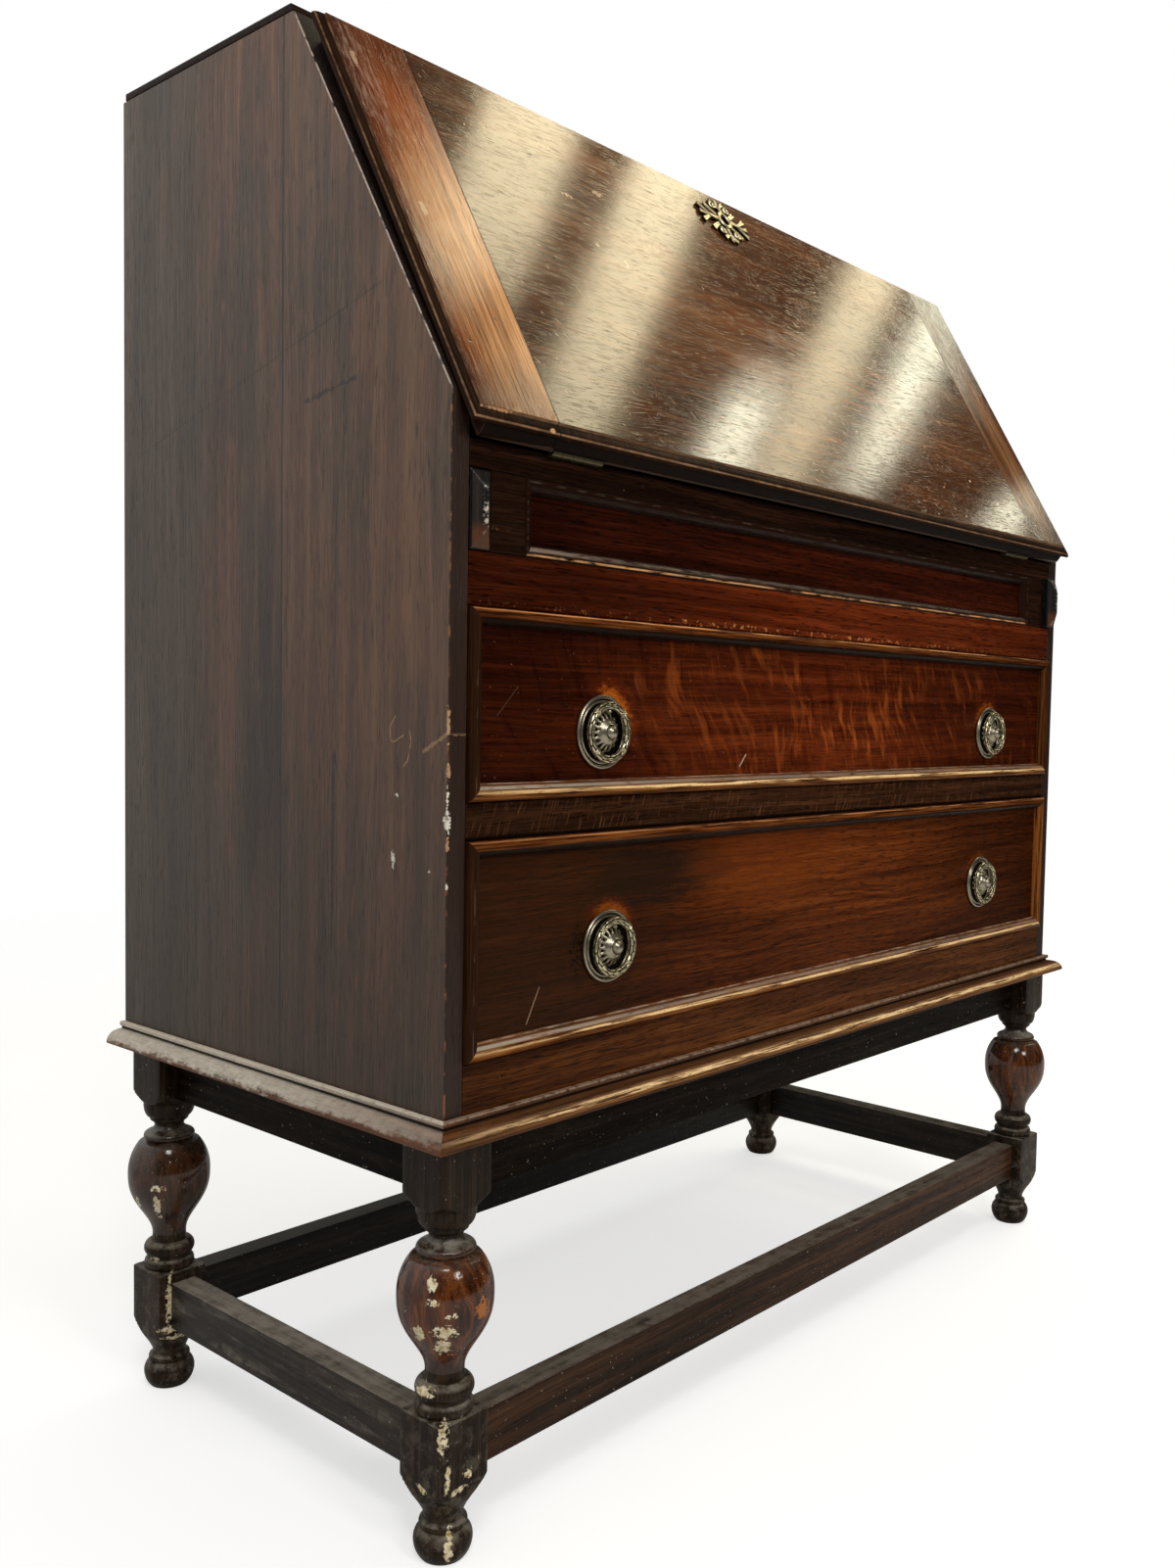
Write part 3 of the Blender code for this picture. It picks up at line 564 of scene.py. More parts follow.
def fall_oak():
    """The fall: polished and scuffed centre with its grain across, and a cleat at each end."""
    s = Surface("fall_oak")
    u, out, wide, rim = fall_place(s)
    end = (wide - CLEAT_JOINT).step(-0.0003, 0.0003)
    curl = s.noise(s.x * 7, u * 22, 2, 2)
    along = s.x * (1 - end) + u * end
    across = u * (1 - end) + s.x * end * 2.2 + (curl - 0.5) * 0.016 * (1 - end)
    oak(s, along, across, out, 4, (0.042, 0.013, 0.0036), (0.098, 0.035, 0.01), (0.19, 0.078, 0.026), 170,
        1, 0.55)
    cleat = s.tone.ramp((0.18, (0.14, 0.042, 0.009)), (0.5, (0.46, 0.188, 0.053)), (0.82, (0.8, 0.43, 0.155)))
    cleat = cleat.tint((0.54, 0.31, 0.2), u.step(0.16, 0.28))
    cleat = cleat.tint((0.42, 0.35, 0.3), u.step(0.07, 0.015))
    cleat = cleat.tint((0.4, 0.24, 0.17), (wide + curl * 0.012).step(0.404, 0.44))
    cleat = cleat.tint((0.5, 0.52, 0.56), u.step(0.27, 0.335))
    fade = s.noise(s.x * 40, u * 9, 2, 3).step(0.52, 0.7)
    cleat = cleat.toward((0.06, 0.018, 0.006), fade * 0.55)
    cleat = cleat.tint((0.5, 0.5, 0.54), s.x.step(0.35, 0.36))
    s.lay(cleat, end)
    lines = s.grain(14, 600, 3, 0.65)
    s.tint((0.46, 0.36, 0.3), lines.step(0.52, 0.64) * (end * 0.35 + 0.4))
    patch = s.noise(s.x * 6, u * 24, 3, 4).step(0.5, 0.68)
    s.lay((0.24, 0.082, 0.022), patch * (1 - end) * 0.35)
    s.tint((s.x + u * 0.35).curve((-0.37, 0.42), (-0.22, 0.66), (-0.05, 1), (0.45, 0.9)).either(end))
    rubbed = s.spot(s.x, u, (-0.418, 0.29), (0.013, 0.05), 0.5, 60)
    s.lay((0.42, 0.27, 0.18), rubbed * s.noise(s.x * 330, u * 60, 3, 4).step(0.44, 0.66) * 0.4)
    dent = s.noise(s.x * 120, u * 150, 1, 2).step(0.7, 0.76)
    scuff = s.noise(s.x * 110 + u * 60, u * 120 - s.x * 40, 6, 3, 0.6).step(0.7, 0.75)
    field = s.noise(s.x * 13, u * 13, 9, 3)
    hair = (field - 0.5).mag().step(0.004, 0.0012) * s.noise(s.x * 9, u * 9, 2, 2).step(0.52, 0.6)
    s.lay((0.03, 0.011, 0.004), dent * 0.6)
    s.lay((0.5, 0.36, 0.24), scuff * 0.75)
    s.lay((0.36, 0.22, 0.13), hair * 0.2)
    nick = s.noise(s.x * 250 + u * 190, u * 60 - s.x * 45, 3, 2).step(0.7, 0.75)
    nick = nick.either(s.noise(s.x * 70 - u * 40, u * 310 + s.x * 170, 7, 2).step(0.7, 0.75))
    nick = nick * s.noise(s.x * 16, u * 16, 5, 3).step(0.34, 0.66)
    s.lay((0.48, 0.3, 0.17), nick * 0.6)
    seam = (wide - CLEAT_JOINT).mag().step(0.0012, 0.0002)
    s.lay((0.008, 0.004, 0.002), seam * 0.8)
    mark = flakes(s, s.x, u, ((-233.6, 255, 7.5, 3), (-189.8, 273.9, 8.5, 3), (-223.1, 209.3, 4, 2.6),
                              (-193.8, 199.4, 2.6, 5), (-412.6, 175.7, 3.6, 7.5), (-421, 308, 2.6, 11)))
    s.lay((0.6, 0.41, 0.24), mark * 0.55)
    mould = rim.step(0.0098, 0.009)
    s.lay((0.016, 0.0055, 0.0022), mould * 0.9)
    inner = out.step(0.004, 0.0022)
    s.lay((0.13, 0.058, 0.024), inner * 0.3)
    peel = s.noise(s.x * 95, u * 95, 4, 3)
    relief = s.height * 0.7 + lines * 0.75 + peel * 0.3 - dent * 0.6 - nick * 0.35
    cloud = s.noise(s.x * 14, u * 14, 8, 4, 0.6)
    rough = cloud * 0.09 + 0.06 + scuff * 0.2 + inner * 0.3 + mould * 0.12
    return s.finish(rough, s.bump(relief, 0.00007))


def fall_edge_oak():
    """Moulded edge of the fall: dark, its ridges rubbed in places and given painted highlight, its underside
    painted in shadow, chipped at the lower corner.
    """
    s = Surface("fall_edge_oak")
    u, out, wide, rim = fall_place(s)
    oak(s, s.x + u, out, wide, 6, (0.005, 0.002, 0.0008), (0.017, 0.0062, 0.0024), (0.042, 0.0155, 0.006))
    rub = s.noise(s.x * 90, u * 90, out * 220, 4, 0.65)
    # Ridge lines: partly rubbed wear, partly painted highlight along the crests of the moulding.
    inner = (rim - 0.0093).mag().step(0.0012, 0.0003)
    outer = (rim - 0.0016).mag().step(0.001, 0.0003) * out.step(0.0135, 0.015)
    ridge = inner.either(outer)
    s.lay((0.34, 0.19, 0.098), ridge * (rub.step(0.34, 0.7) * 0.45 + 0.1 + u.step(0.014, 0.01) * 0.25))
    chip = flakes(s, s.x, u, ((-418, 9.8, 16, 2), (-370.2, 3, 3, 2.4)), 320)
    s.lay((0.6, 0.33, 0.15), chip * 0.9)
    # Painted shadow: the down-facing underside of the lip is painted near black.
    under = out.step(0.0128, 0.0112)
    s.lay((0.006, 0.0025, 0.0012), under * 0.9)
    return s.polish(rub * 0.2 + 0.24, 0.05, 0.0004)


def edge_faces(mat, *nodes):
    """Second material for the faces of the fall that lie round its edge, below the flat."""
    for name in nodes:
        mesh = NODES[name].data
        mesh.materials.append(mat)
        place = NODES[name].matrix_world
        for face in mesh.polygons:
            p = place @ face.center
            u, out = slope_place(p.y, p.z)
            if 0.003 < out < 0.0179 and min(u, FALL_HALF - abs(p.x)) < 0.0115:
                face.material_index = 1


def front_oak(name, seed, dark, mid, light, tone_x=None, flecks=0, ring=150, contrast=0.9):
    """Boards of the front with the grain across; flecks are the rays of quartered oak."""
    s = Surface(name)
    oak(s, s.x, s.z, s.y, seed, dark, mid, light, ring, contrast)
    dashes = s.grain(55, 640).step(0.56, 0.68)
    s.lay(tuple(c * 0.4 for c in dark), dashes * 0.7)
    if flecks:
        ray = s.noise((s.x - s.z * 0.35) * 620, s.z * 52, seed, 2).step(0.56, 0.7)
        wide = s.noise(s.x * 9, s.z * 9, seed, 2).step(0.36, 0.6)
        s.lay(tuple(min(1, c * 2.4) for c in light), ray * wide * flecks)
    if tone_x:
        s.tint(s.x.curve(*tone_x))
    return s


def satin(s):
    """Dull polish of the front's rails, with clouds in it."""
    cloud = s.noise(s.x * 9, s.z * 22, 1, 3)
    return s.polish(cloud * 0.16 + 0.2, 0.06)


def rail_wood(name, seed, dark, mid, light, foot=0, **keys):
    """Rail of the front with rubbed specks and, where foot is given, painted shadow along its lower edge."""
    s = front_oak(name, seed, dark, mid, light, **keys)
    worn = s.even(130, 4, 0.65).step(0.68, 0.75)
    s.lay((0.3, 0.12, 0.04), worn * 0.35)
    # Painted shadow: a near-black band over the last few millimetres above foot, the shade of the gap under
    # the rail.
    if foot:
        s.lay((0.003, 0.0014, 0.0007), (s.z - foot).step(0.003, 0.0014) * 0.9)
    return satin(s)


def frieze_rail_wood():
    """Rail over the upper drawer, its lower arris rubbed pale in flecks."""
    tone_x = ((-0.43, 0.3), (-0.32, 0.42), (-0.18, 0.85), (0, 1.2), (0.43, 0.75))
    s = front_oak("frieze_rail_oak", 12, (0.024, 0.003, 0.0005), (0.096, 0.014, 0.002),
                  (0.21, 0.036, 0.007), tone_x)
    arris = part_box("frieze_rail")[0].z + 0.002
    low = (s.z - arris).mag().step(0.004, 0.0015)
    rub = s.noise(s.x * 230, s.z * 260, 3, 3, 0.6).step(0.56, 0.63)
    span = s.x.curve((-0.43, 0.1), (-0.24, 0.3), (-0.21, 1), (0.1, 0.9), (0.25, 0.25), (0.43, 0.1))
    s.lay((0.58, 0.22, 0.065), low * rub * span * 0.85)
    return satin(s)


def border(s, half_w, half_h, centre_z):
    """Of a framed panel: the way in from its edge, its upright sides and its lower half."""
    ex = half_w - s.x.mag()
    ez = half_h - (s.z - centre_z).mag()
    return ex.both(ez), (ez - ex).step(-0.0001, 0.0003), (centre_z - s.z).step(0, 0.01)


def drawer_wood(word, seed, tones, tone_x, shade, flecks, wear, extra, right_stile_light):
    """Drawer front: figured field with painted shade towards its edges, and a moulding with rubbed wear,
    painted highlight, painted shade, and a grey band on the lower moulding's upward slope.
    """
    s = Surface("drawer_oak_" + word)
    centre_z, half_h = DRAWER_Z[word]
    handle_x, handle_z = HANDLES[word]
    rim, upright, low = border(s, DRAWER_HALF, half_h, centre_z)
    edge = rim.step(0.0119, 0.0115)
    stile = upright * edge
    run = 1 - stile
    along = s.x * run + s.z * stile
    across = s.z * run + s.x * stile
    oak(s, along, across, s.y, seed, *tones)
    dashes = s.noise(s.x * 58, s.z * 610, seed, 2).step(0.53, 0.68)
    s.lay(tuple(c * 0.4 for c in tones[0]), dashes * (0.35 if flecks else 0.65))
    bend = s.noise(s.x * 6, s.z * 9, seed, 2)
    if not flecks:
        grain = s.noise(s.x * 5, s.z * 300 + bend * 9, seed, 3, 0.6)
        s.tint((0.42, 0.36, 0.34), grain.step(0.47, 0.66) * 0.75)
        s.tint((1.22, 1.22, 1.22))
    else:
        slope = (s.x + s.z * 0.42) * 78 + bend * 5
        ray = s.noise(slope, (s.z - s.x * 0.25) * 21, seed, 3, 0.55).step(0.49, 0.72)
        tiny = s.noise(slope * 3, (s.z - s.x * 0.25) * 55, seed, 2).step(0.52, 0.72)
        area = s.noise(s.x * 7, s.z * 12, seed + 3, 2).step(0.4, 0.62) * s.x.step(-0.36, -0.2)
        s.lay((0.4, 0.088, 0.012), (ray * 0.8 + tiny * 0.2) * area * flecks)
        streak = s.noise(slope * 1.2 + 40, (s.z - s.x * 0.25) * 14, seed, 2).step(0.56, 0.72)
        s.tint((0.45, 0.36, 0.34), streak * 0.7)
    s.tint(s.x.curve(*tone_x))
    # Painted shade: the field is darkened towards its top and bottom edges, by the shade curve.
    s.tint((s.z - centre_z).curve(*shade))
    extra(s)
    rag = s.noise(s.x * 150, s.z * 330, seed, 5, 0.72)
    for sign, angle, width, share in wear:
        dx = s.x - sign * handle_x
        dz = s.z - handle_z
        reach = (dx * dx + dz * dz).power(0.5)
        toward = (dx * math.cos(math.radians(angle)) + dz * math.sin(math.radians(angle))) / reach
        bloom = reach.step(0.027 + width * 1.7, 0.026) * toward.step(0.35, 1)
        patch = (bloom * 1.25 + (rag - 0.5) * 1.9).step(0.42, 1.15)
        s.lay((0.18, 0.024, 0.002), bloom.power(0.6) * rag.step(0.3, 0.6) * share * 0.8)
        s.lay((0.44, 0.102, 0.005), patch * bloom.power(0.7) * rag.step(0.26, 0.52) * share)
        s.lay((0.78, 0.5, 0.28), bloom.power(0.5) * rag.step(0.64, 0.69) * share * 0.55)
    streaky = s.grain(16, 520, 4, 0.65)
    broken = s.grain(60, 300, 3, 0.6)
    body = streaky.ramp((0.32, (0.02, 0.0048, 0.001)), (0.5, (0.125, 0.036, 0.007)),
                        (0.68, (0.31, 0.115, 0.028)))
    s.lay(body, edge)
    fine = s.grain(130, 800, 3, 0.6)
    foot = low * run * edge
    head = (1 - low) * run * edge
    # worn sets how strongly the mouldings carry rubbed wear and painted highlight across the drawer, weaker
    # at the left end.
    worn = s.x.curve((-0.43, 0.35), (-0.34, 0.75), (-0.2, 1), (0.3, 1), (0.43, 0.7))
    s.lay((0.32, 0.118, 0.026), rim.band(0.0032, 0.007, 0.0008) * streaky.step(0.3, 0.56) * foot * 0.6)
    # Gold streaks on the lower moulding's crest: partly rubbed wear, partly painted highlight.
    s.lay((1, 0.7, 0.33), rim.band(0.0044, 0.0066, 0.0006) * streaky.step(0.38, 0.53)
          * fine.step(0.26, 0.46) * foot * worn)
    grey = rim.band(0.0077, 0.0098, 0.0006) * broken.step(0.24, 0.5)
    s.lay((0.36, 0.295, 0.225), grey * foot * s.x.curve((-0.43, 1), (-0.36, 0.9), (-0.2, 0.5), (0.43, 0.35)))
    s.lay((0.09, 0.036, 0.018), rim.band(0.01, 0.0108, 0.0003) * foot * 0.7)
    s.lay((0.56, 0.42, 0.31), rim.band(0.0111, 0.0116, 0.0002) * broken.step(0.38, 0.6) * foot * 0.7)
    # Painted shade: the whole top moulding is darkened.
    s.tint((0.58, 0.5, 0.44), head)
    s.lay((0.2, 0.058, 0.01), rim.band(0.0014, 0.0044, 0.0008) * head * streaky.step(0.42, 0.62) * 0.8)
    # Thin bright line on the top arris: partly rubbed wear, partly painted highlight.
    s.lay((0.85, 0.37, 0.14),
          rim.band(0.0007, 0.0015, 0.0003) * streaky.step(0.42, 0.58) * head * worn
          * (0.9 if flecks else 0.5))
    # Painted shadow: the down-facing inner slope of the top moulding is painted near black.
    s.lay((0.008, 0.0026, 0.001), rim.step(0.0056, 0.0074) * head * 0.95)
    side = s.x.step(-0.01, 0.01)
    # Painted shade on the left stile, whose slope faces away from the light, with a thin painted highlight
    # along its crest.
    s.lay((0.014, 0.0055, 0.0028), stile * (1 - side) * 0.9)
    s.lay((0.2, 0.115, 0.07),
          rim.band(0.0038, 0.0046, 0.0003) * broken.step(0.5, 0.64) * stile * (1 - side) * 0.4)
    # Right stile: darkened as painted shade, and given painted orange light on its inner slope, by the share
    # in the last argument.
    s.tint((0.22, 0.2, 0.2), stile * side * (1 - right_stile_light))
    s.lay((0.36, 0.115, 0.02), stile * side * rim.step(0.004, 0.0056) * streaky.step(0.3, 0.6) * right_stile_light)
    cloud = s.noise(s.x * 8, s.z * 20, seed, 3)
    rough = cloud * 0.16 + 0.2 + grey * foot * 0.25
    return s.polish(rough, 0.06)


def upper_extra(s):
    """Scratches of the upper drawer."""
    nick = s.streak(s.x, s.z, (-0.1319, 0.528), (-0.123, 0.5383), 0.0009)
    line = s.streak(s.x, s.z, (-0.4001, 0.5658), (-0.3799, 0.587), 0.0004)
    s.lay((0.6, 0.42, 0.3), nick * 0.8)
    s.lay((0.1, 0.055, 0.03), line * 0.7)
    speck = s.grit(420, 0.7, 0.75, 4)
    s.lay((0.42, 0.2, 0.1), speck * 0.5)


def lower_extra(s):
    """Dark cloud, warm patch and scratches of the lower drawer."""
    warp = s.noise(s.x * 15, s.z * 95, 3, 5, 0.68) - 0.5
    cloud = (oval(s.x, s.z, (-0.23, 0.449), (0.085, 0.021)) + warp * 3.4).step(1.3, 0.5)
    s.lay((0.012, 0.0065, 0.0036), cloud * 0.8)
    s.lay((0.03, 0.0128, 0.0046), s.x.step(-0.16, -0.34) * 0.5)
    glow = (oval(s.x, s.z, (-0.085, 0.452), (0.12, 0.045)) + warp * 2.2).step(1.2, 0.1)
    s.lay((0.185, 0.036, 0.003), glow * 0.4)
    nick = s.streak(s.x, s.z, (-0.369, 0.3546), (-0.3562, 0.38), 0.0005)
    s.lay((0.4, 0.28, 0.17), nick * 0.75)
    pits = s.spot(s.x, s.z, (-0.319, 0.401), (0.008, 0.02), 0.4) * s.grit(420, 0.5, 0.58, 2)
    s.lay((0.004, 0.003, 0.002), pits * 0.8)


def frieze_wood(lo, hi):
    """Sunk frieze: dark red field; its sunk edge painted dark as shade, with a grey painted highlight along
    the bottom that is brightest at the left, a worn orange arris line there, and faint painted highlight
    lines elsewhere.
    """
    s = front_oak("frieze_oak", 41, (0.007, 0.0012, 0.0004), (0.034, 0.0052, 0.0011),
                  (0.092, 0.015, 0.0036), ((-0.43, 0.4), (-0.3, 0.7), (0, 1.1), (0.43, 0.9)))
    rim, stile, low = border(s, hi.x, (hi.z - lo.z) / 2, (lo.z + hi.z) / 2)
    broken = s.noise(s.x * 50, s.z * 300, 2, 4, 0.6)
    # Painted shade: the sunk edge is darkened all round.
    lip = rim.step(0.0098, 0.0092)
    s.lay((0.014, 0.0055, 0.0026), lip * 0.85)
    foot = low * (1 - stile) * lip
    # Grey painted highlight along the lower sunk edge, fading from the left.
    s.lay((0.31, 0.225, 0.165),
          rim.band(0.0042, 0.0074, 0.001) * broken.step(0.26, 0.6) * foot
          * s.x.curve((-0.4, 0.9), (-0.36, 0.65), (-0.26, 0.3), (0.4, 0.2)))
    s.lay((0.66, 0.34, 0.14), rim.band(0.0012, 0.0026, 0.0004) * broken.step(0.34, 0.58) * foot * 0.9)
    # Faint painted highlight lines on the top and side edges.
    s.lay((0.16, 0.12, 0.095),
          rim.band(0.0018, 0.003, 0.0004) * broken.step(0.46, 0.66) * (1 - foot) * lip * 0.35)
    return s.polish(0.24, 0.1)


def loper_oak():
    """Ends of the lopers: dull grey polish, the ridge chipped to cream and orange below it, and painted shade
    round the edge where each sits in its opening.
    """
    s = Surface("loper_oak")
    oak(s, s.z, s.x, s.y, 19, (0.005, 0.0038, 0.0034), (0.013, 0.0098, 0.0088), (0.03, 0.022, 0.019), 150,
        1.3)
    bare = s.tone.ramp((0.3, (0.016, 0.0075, 0.0032)), (0.7, (0.07, 0.035, 0.016)))
    s.lay(bare, (s.y - FRONT).step(0.004, 0.012) * 0.9)
    lo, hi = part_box("loper_left")
    middle, half = (lo + hi) / 2, (hi - lo) / 2
    ridge_x = 0.42
    ridge = (s.x.mag() - ridge_x).mag()
    low = (middle.z - s.z).step(0.006, 0.016)
    s.lay((0.15, 0.046, 0.01), (low * (s.y - FRONT).step(0.002, -0.001)) * 0.55)
    # Painted shade: a near-black band round the edge of the loper's end, where it sits in its opening.
    reach = (half.x - (s.x.mag() + middle.x).mag()).both(half.z - (s.z - middle.z).mag())
    s.lay((0.003, 0.002, 0.0015), reach.step(0.0016, 0.0007))
    flaky = s.even(330, 3, 0.65)
    chip = (FRONT - s.y).step(0.0045, 0.007) * flaky.step(0.52, 0.6)
    s.lay((0.66, 0.56, 0.46), chip * ridge.step(0.0028, 0.0008) * 0.8)
    return s.polish(flaky * 0.12 + 0.26, 0.34)


def moulding_oak():
    """Base moulding: gold along the front from rubbed wear and painted highlight, painted shade in its quirk,
    under dust along the sides.
    """
    s = Surface("base_moulding_oak")
    past = s.x.mag() - SIDE_X
    side = past.step(0.0002, 0.0007) * (past - (FRONT - s.y)).step(-0.0002, 0.0002)
    run = 1 - side
    rise = s.z - MOULD_LO
    along = s.x * run + s.y * side
    oak(s, along, s.z, s.x * side + s.y * run, 21, (0.02, 0.0065, 0.002), (0.085, 0.031, 0.01),
        (0.19, 0.08, 0.027))
    streaky = s.noise(along * 18, s.z * 620, s.y * 200 * run, 4, 0.65)
    fine = s.noise(along * 130, s.z * 900, 3, 3, 0.6)
    # worn sets how strongly the front carries its rubbed wear and painted highlight, weakest at the left end.
    worn = s.x.curve((-0.46, 0.1), (-0.4, 0.45), (-0.28, 0.9), (0.4, 0.95), (0.46, 0.5))
    s.lay((0.28, 0.115, 0.03), rise.band(0.0022, 0.0085, 0.001) * streaky.step(0.34, 0.58) * run * worn)
    # Gold streaks on the crest: partly rubbed wear, partly painted highlight.
    s.lay((1, 0.71, 0.35), rise.band(0.0045, 0.0075, 0.0007) * streaky.step(0.42, 0.56)
          * fine.step(0.28, 0.48) * run * worn)
    dirt = s.noise(s.x * 160, s.y * 160, s.z * 260, 5, 0.7)
    bank = s.y.curve((-0.21, 0.3), (-0.12, 0.6), (0, 0.95), (0.21, 1))
    copper = s.tone.ramp((0.2, (0.03, 0.01, 0.004)), (0.5, (0.12, 0.046, 0.02)), (0.8, (0.24, 0.105, 0.05)))
    s.lay(copper, side * 0.8)
    heap = s.noise(s.y * 30, s.z * 150, s.x * 40, 4, 0.65)
    thick = (rise * 260 - 0.942 + (dirt - 0.5) * 2.4 + (heap - 0.5) * 3.2 + bank).step(0.25, 1.4)
    s.lay((0.7, 0.635, 0.52), thick * side * (dirt * 0.9 + 0.3) * bank)
    # Painted shade: the quirk groove is painted near black.
    quirk = rise.band(0.0107, 0.0133, 0.0003)
    s.lay((0.005, 0.0035, 0.0025), quirk * 0.95)
    ledge = rise.step(0.0147, 0.0157)
    s.lay((0.36, 0.25, 0.175), ledge * run * dirt.step(0.36, 0.55) * 0.65)
    s.lay((0.66, 0.58, 0.46), ledge * side * dirt.step(0.28, 0.5) * 0.9)
    rough = dirt * 0.2 + 0.26 + thick * side * 0.35
    s.height = s.height + dirt * side * 0.8
    return s.polish(rough, 0.2, 0.0006, 0.8)


def dusty_oak(name, axis, seed, dark, mid, light, dust, film=0.35, spec=0.25):
    """Dark oak of the stand, with dust on what faces up, grey smears and pale specks."""
    s = Surface(name)
    order = {'x': (s.x, s.z, s.y), 'y': (s.y, s.z, s.x), 'z': (s.z, s.x, s.y)}[axis]
    oak(s, *order, seed, dark, mid, light, 150, 1.3)
    up = s.facing()[2].step(0.3, 0.85)
    dirt = s.even(70, 5, 0.7)
    brush = s.grain(12, 120, 4, 0.65)
    bank = up * (dirt * 0.6 + brush * 0.6).step(0.34, 0.72)
    s.lay((0.3, 0.262, 0.205), bank * dust)
    smear = brush.step(0.46, 0.72) * dirt.step(0.34, 0.62)
    s.lay((0.125, 0.105, 0.08), smear * (1 - up) * film)
    speck = s.grit(380, 0.69, 0.73, seed)
    s.lay((0.58, 0.53, 0.43), speck * 0.6)
    rough = dirt * 0.22 + 0.26 + bank * 0.3
    return s.polish(rough, spec)


# The legs: plan, top and vase; then the way to the right across the photograph, for marks on round parts
LEG_X, LEG_FRONT, LEG_REAR = 0.4242, -0.17455, 0.17575
LEG_TOP = 0.288
VASE_LO, VASE_MIDDLE, VASE_HI = 0.128, 0.172, 0.222
ACROSS = (math.cos(YAW), -math.sin(YAW))


def leg_oak(name, x, y, marks, vase_red, glow, spec):
    """Turned leg: near black with dust on its rings, redder on the vase, and cream paint chips."""
    s = Surface(name)
    oak(s, s.z, s.x, s.y, 31 + x * 9 + y * 17, (0.005, 0.0028, 0.0014), (0.0185, 0.0105, 0.0052),
        (0.046, 0.0275, 0.0145), 190, 1.4)
    vase = (s.z - VASE_MIDDLE).mag().step(0.046, 0.03)
    figure = s.noise(s.x * 120 + s.z * 14, s.y * 120, s.z * 22, 4, 0.6, 1.2)
    warm = figure.ramp((0.36, (0.016, 0.0038, 0.0011)), (0.5, (0.074, 0.0185, 0.0036)),
                       (0.66, (0.18, 0.052, 0.009)))
    s.lay(warm, vase * vase_red)
    h = (s.x - x) * ACROSS[0] + (s.y - y) * ACROSS[1]
    near = ((s.x - x) * ACROSS[1] - (s.y - y) * ACROSS[0]).step(0, 0.006)
    if glow:
        rings = ((h - 0.02) * 2600 + (s.z - 0.18) * (s.z - 0.18) * 240000).sin()
        arcs = s.spot(h, s.z, (0.022, 0.183), (0.012, 0.018), 0.4, 90)
        s.tint((0.45, 0.35, 0.3), arcs * near * rings.step(0.1, 0.9) * 0.8)
        spot = flakes(s, h, s.z, ((26.8, 177, 4.6, 8.5),), 160)
        s.lay((0.44, 0.135, 0.015), spot * near * 0.8)
    up = s.facing()[2].step(0.25, 0.8)
    dirt = s.even(90, 5, 0.7)
    film = up * dirt.step(0.34, 0.64) * (1 - vase * 0.9)
    s.lay((0.27, 0.235, 0.18), film * 0.7)
    low = s.z.step(0.16, 0.02) * dirt.step(0.46, 0.66)
    s.lay((0.135, 0.112, 0.08), low * 0.6)
    speck = s.grit(420, 0.67, 0.71, x) * s.even(45, 2).step(0.46, 0.62)
    s.lay((0.74, 0.68, 0.55), speck * 0.7)
    if marks:
        chip = flakes(s, h, s.z, marks) * near
        flaky = s.even(330, 3, 0.6)
        cream = flaky.ramp((0.35, (0.46, 0.33, 0.14)), (0.55, (0.76, 0.66, 0.44)), (0.75, (0.88, 0.83, 0.7)))
        s.lay(cream, chip)
        s.height = s.height + chip * 1.2
    rough = dirt * 0.08 + 0.2 + film * 0.32 - vase * 0.15
    return s.polish(rough, spec, 0.0004, 0.6)


def plain_oak(name, axis, seed):
    """Bare oak of the insides and the back, with knocks and old dust."""
    s = Surface(name)
    order = {'x': (s.x, s.z, s.y), 'y': (s.y, s.x, s.z), 'z': (s.z, s.x, s.y)}[axis]
    oak(s, *order, seed, (0.095, 0.052, 0.025), (0.17, 0.1, 0.052), (0.25, 0.158, 0.088))
    grime = s.even(6, 5, 0.65)
    s.tint((0.5, 0.44, 0.38), grime.step(0.4, 0.78) * 0.75)
    return s.polish(grime * 0.2 + 0.5, 0.3, 0.0006, 0.8)


def brass(name, bright, dark, rough, worn=0.55, cut=(0.15, 0.62)):
    """Aged brass: dark in its hollows, where the mesh says so, and rubbed where it stands out."""
    s = Surface(name)
    node = s.tree.nodes.new('ShaderNodeAttribute')
    node.attribute_name = "hollow"
    hollow = Val(s.tree, node.outputs['Fac'])
    tarnish = s.even(260, 4, 0.65)
    deep = hollow.step(*cut).either(tarnish.step(0.5, 0.76) * worn)
    s.colour = deep.ramp((0, bright), (1, dark))
    level = tarnish * 0.18 + rough + deep * 0.2
    return s.finish(level, s.bump(tarnish, 0.0002, 0.5), 1)


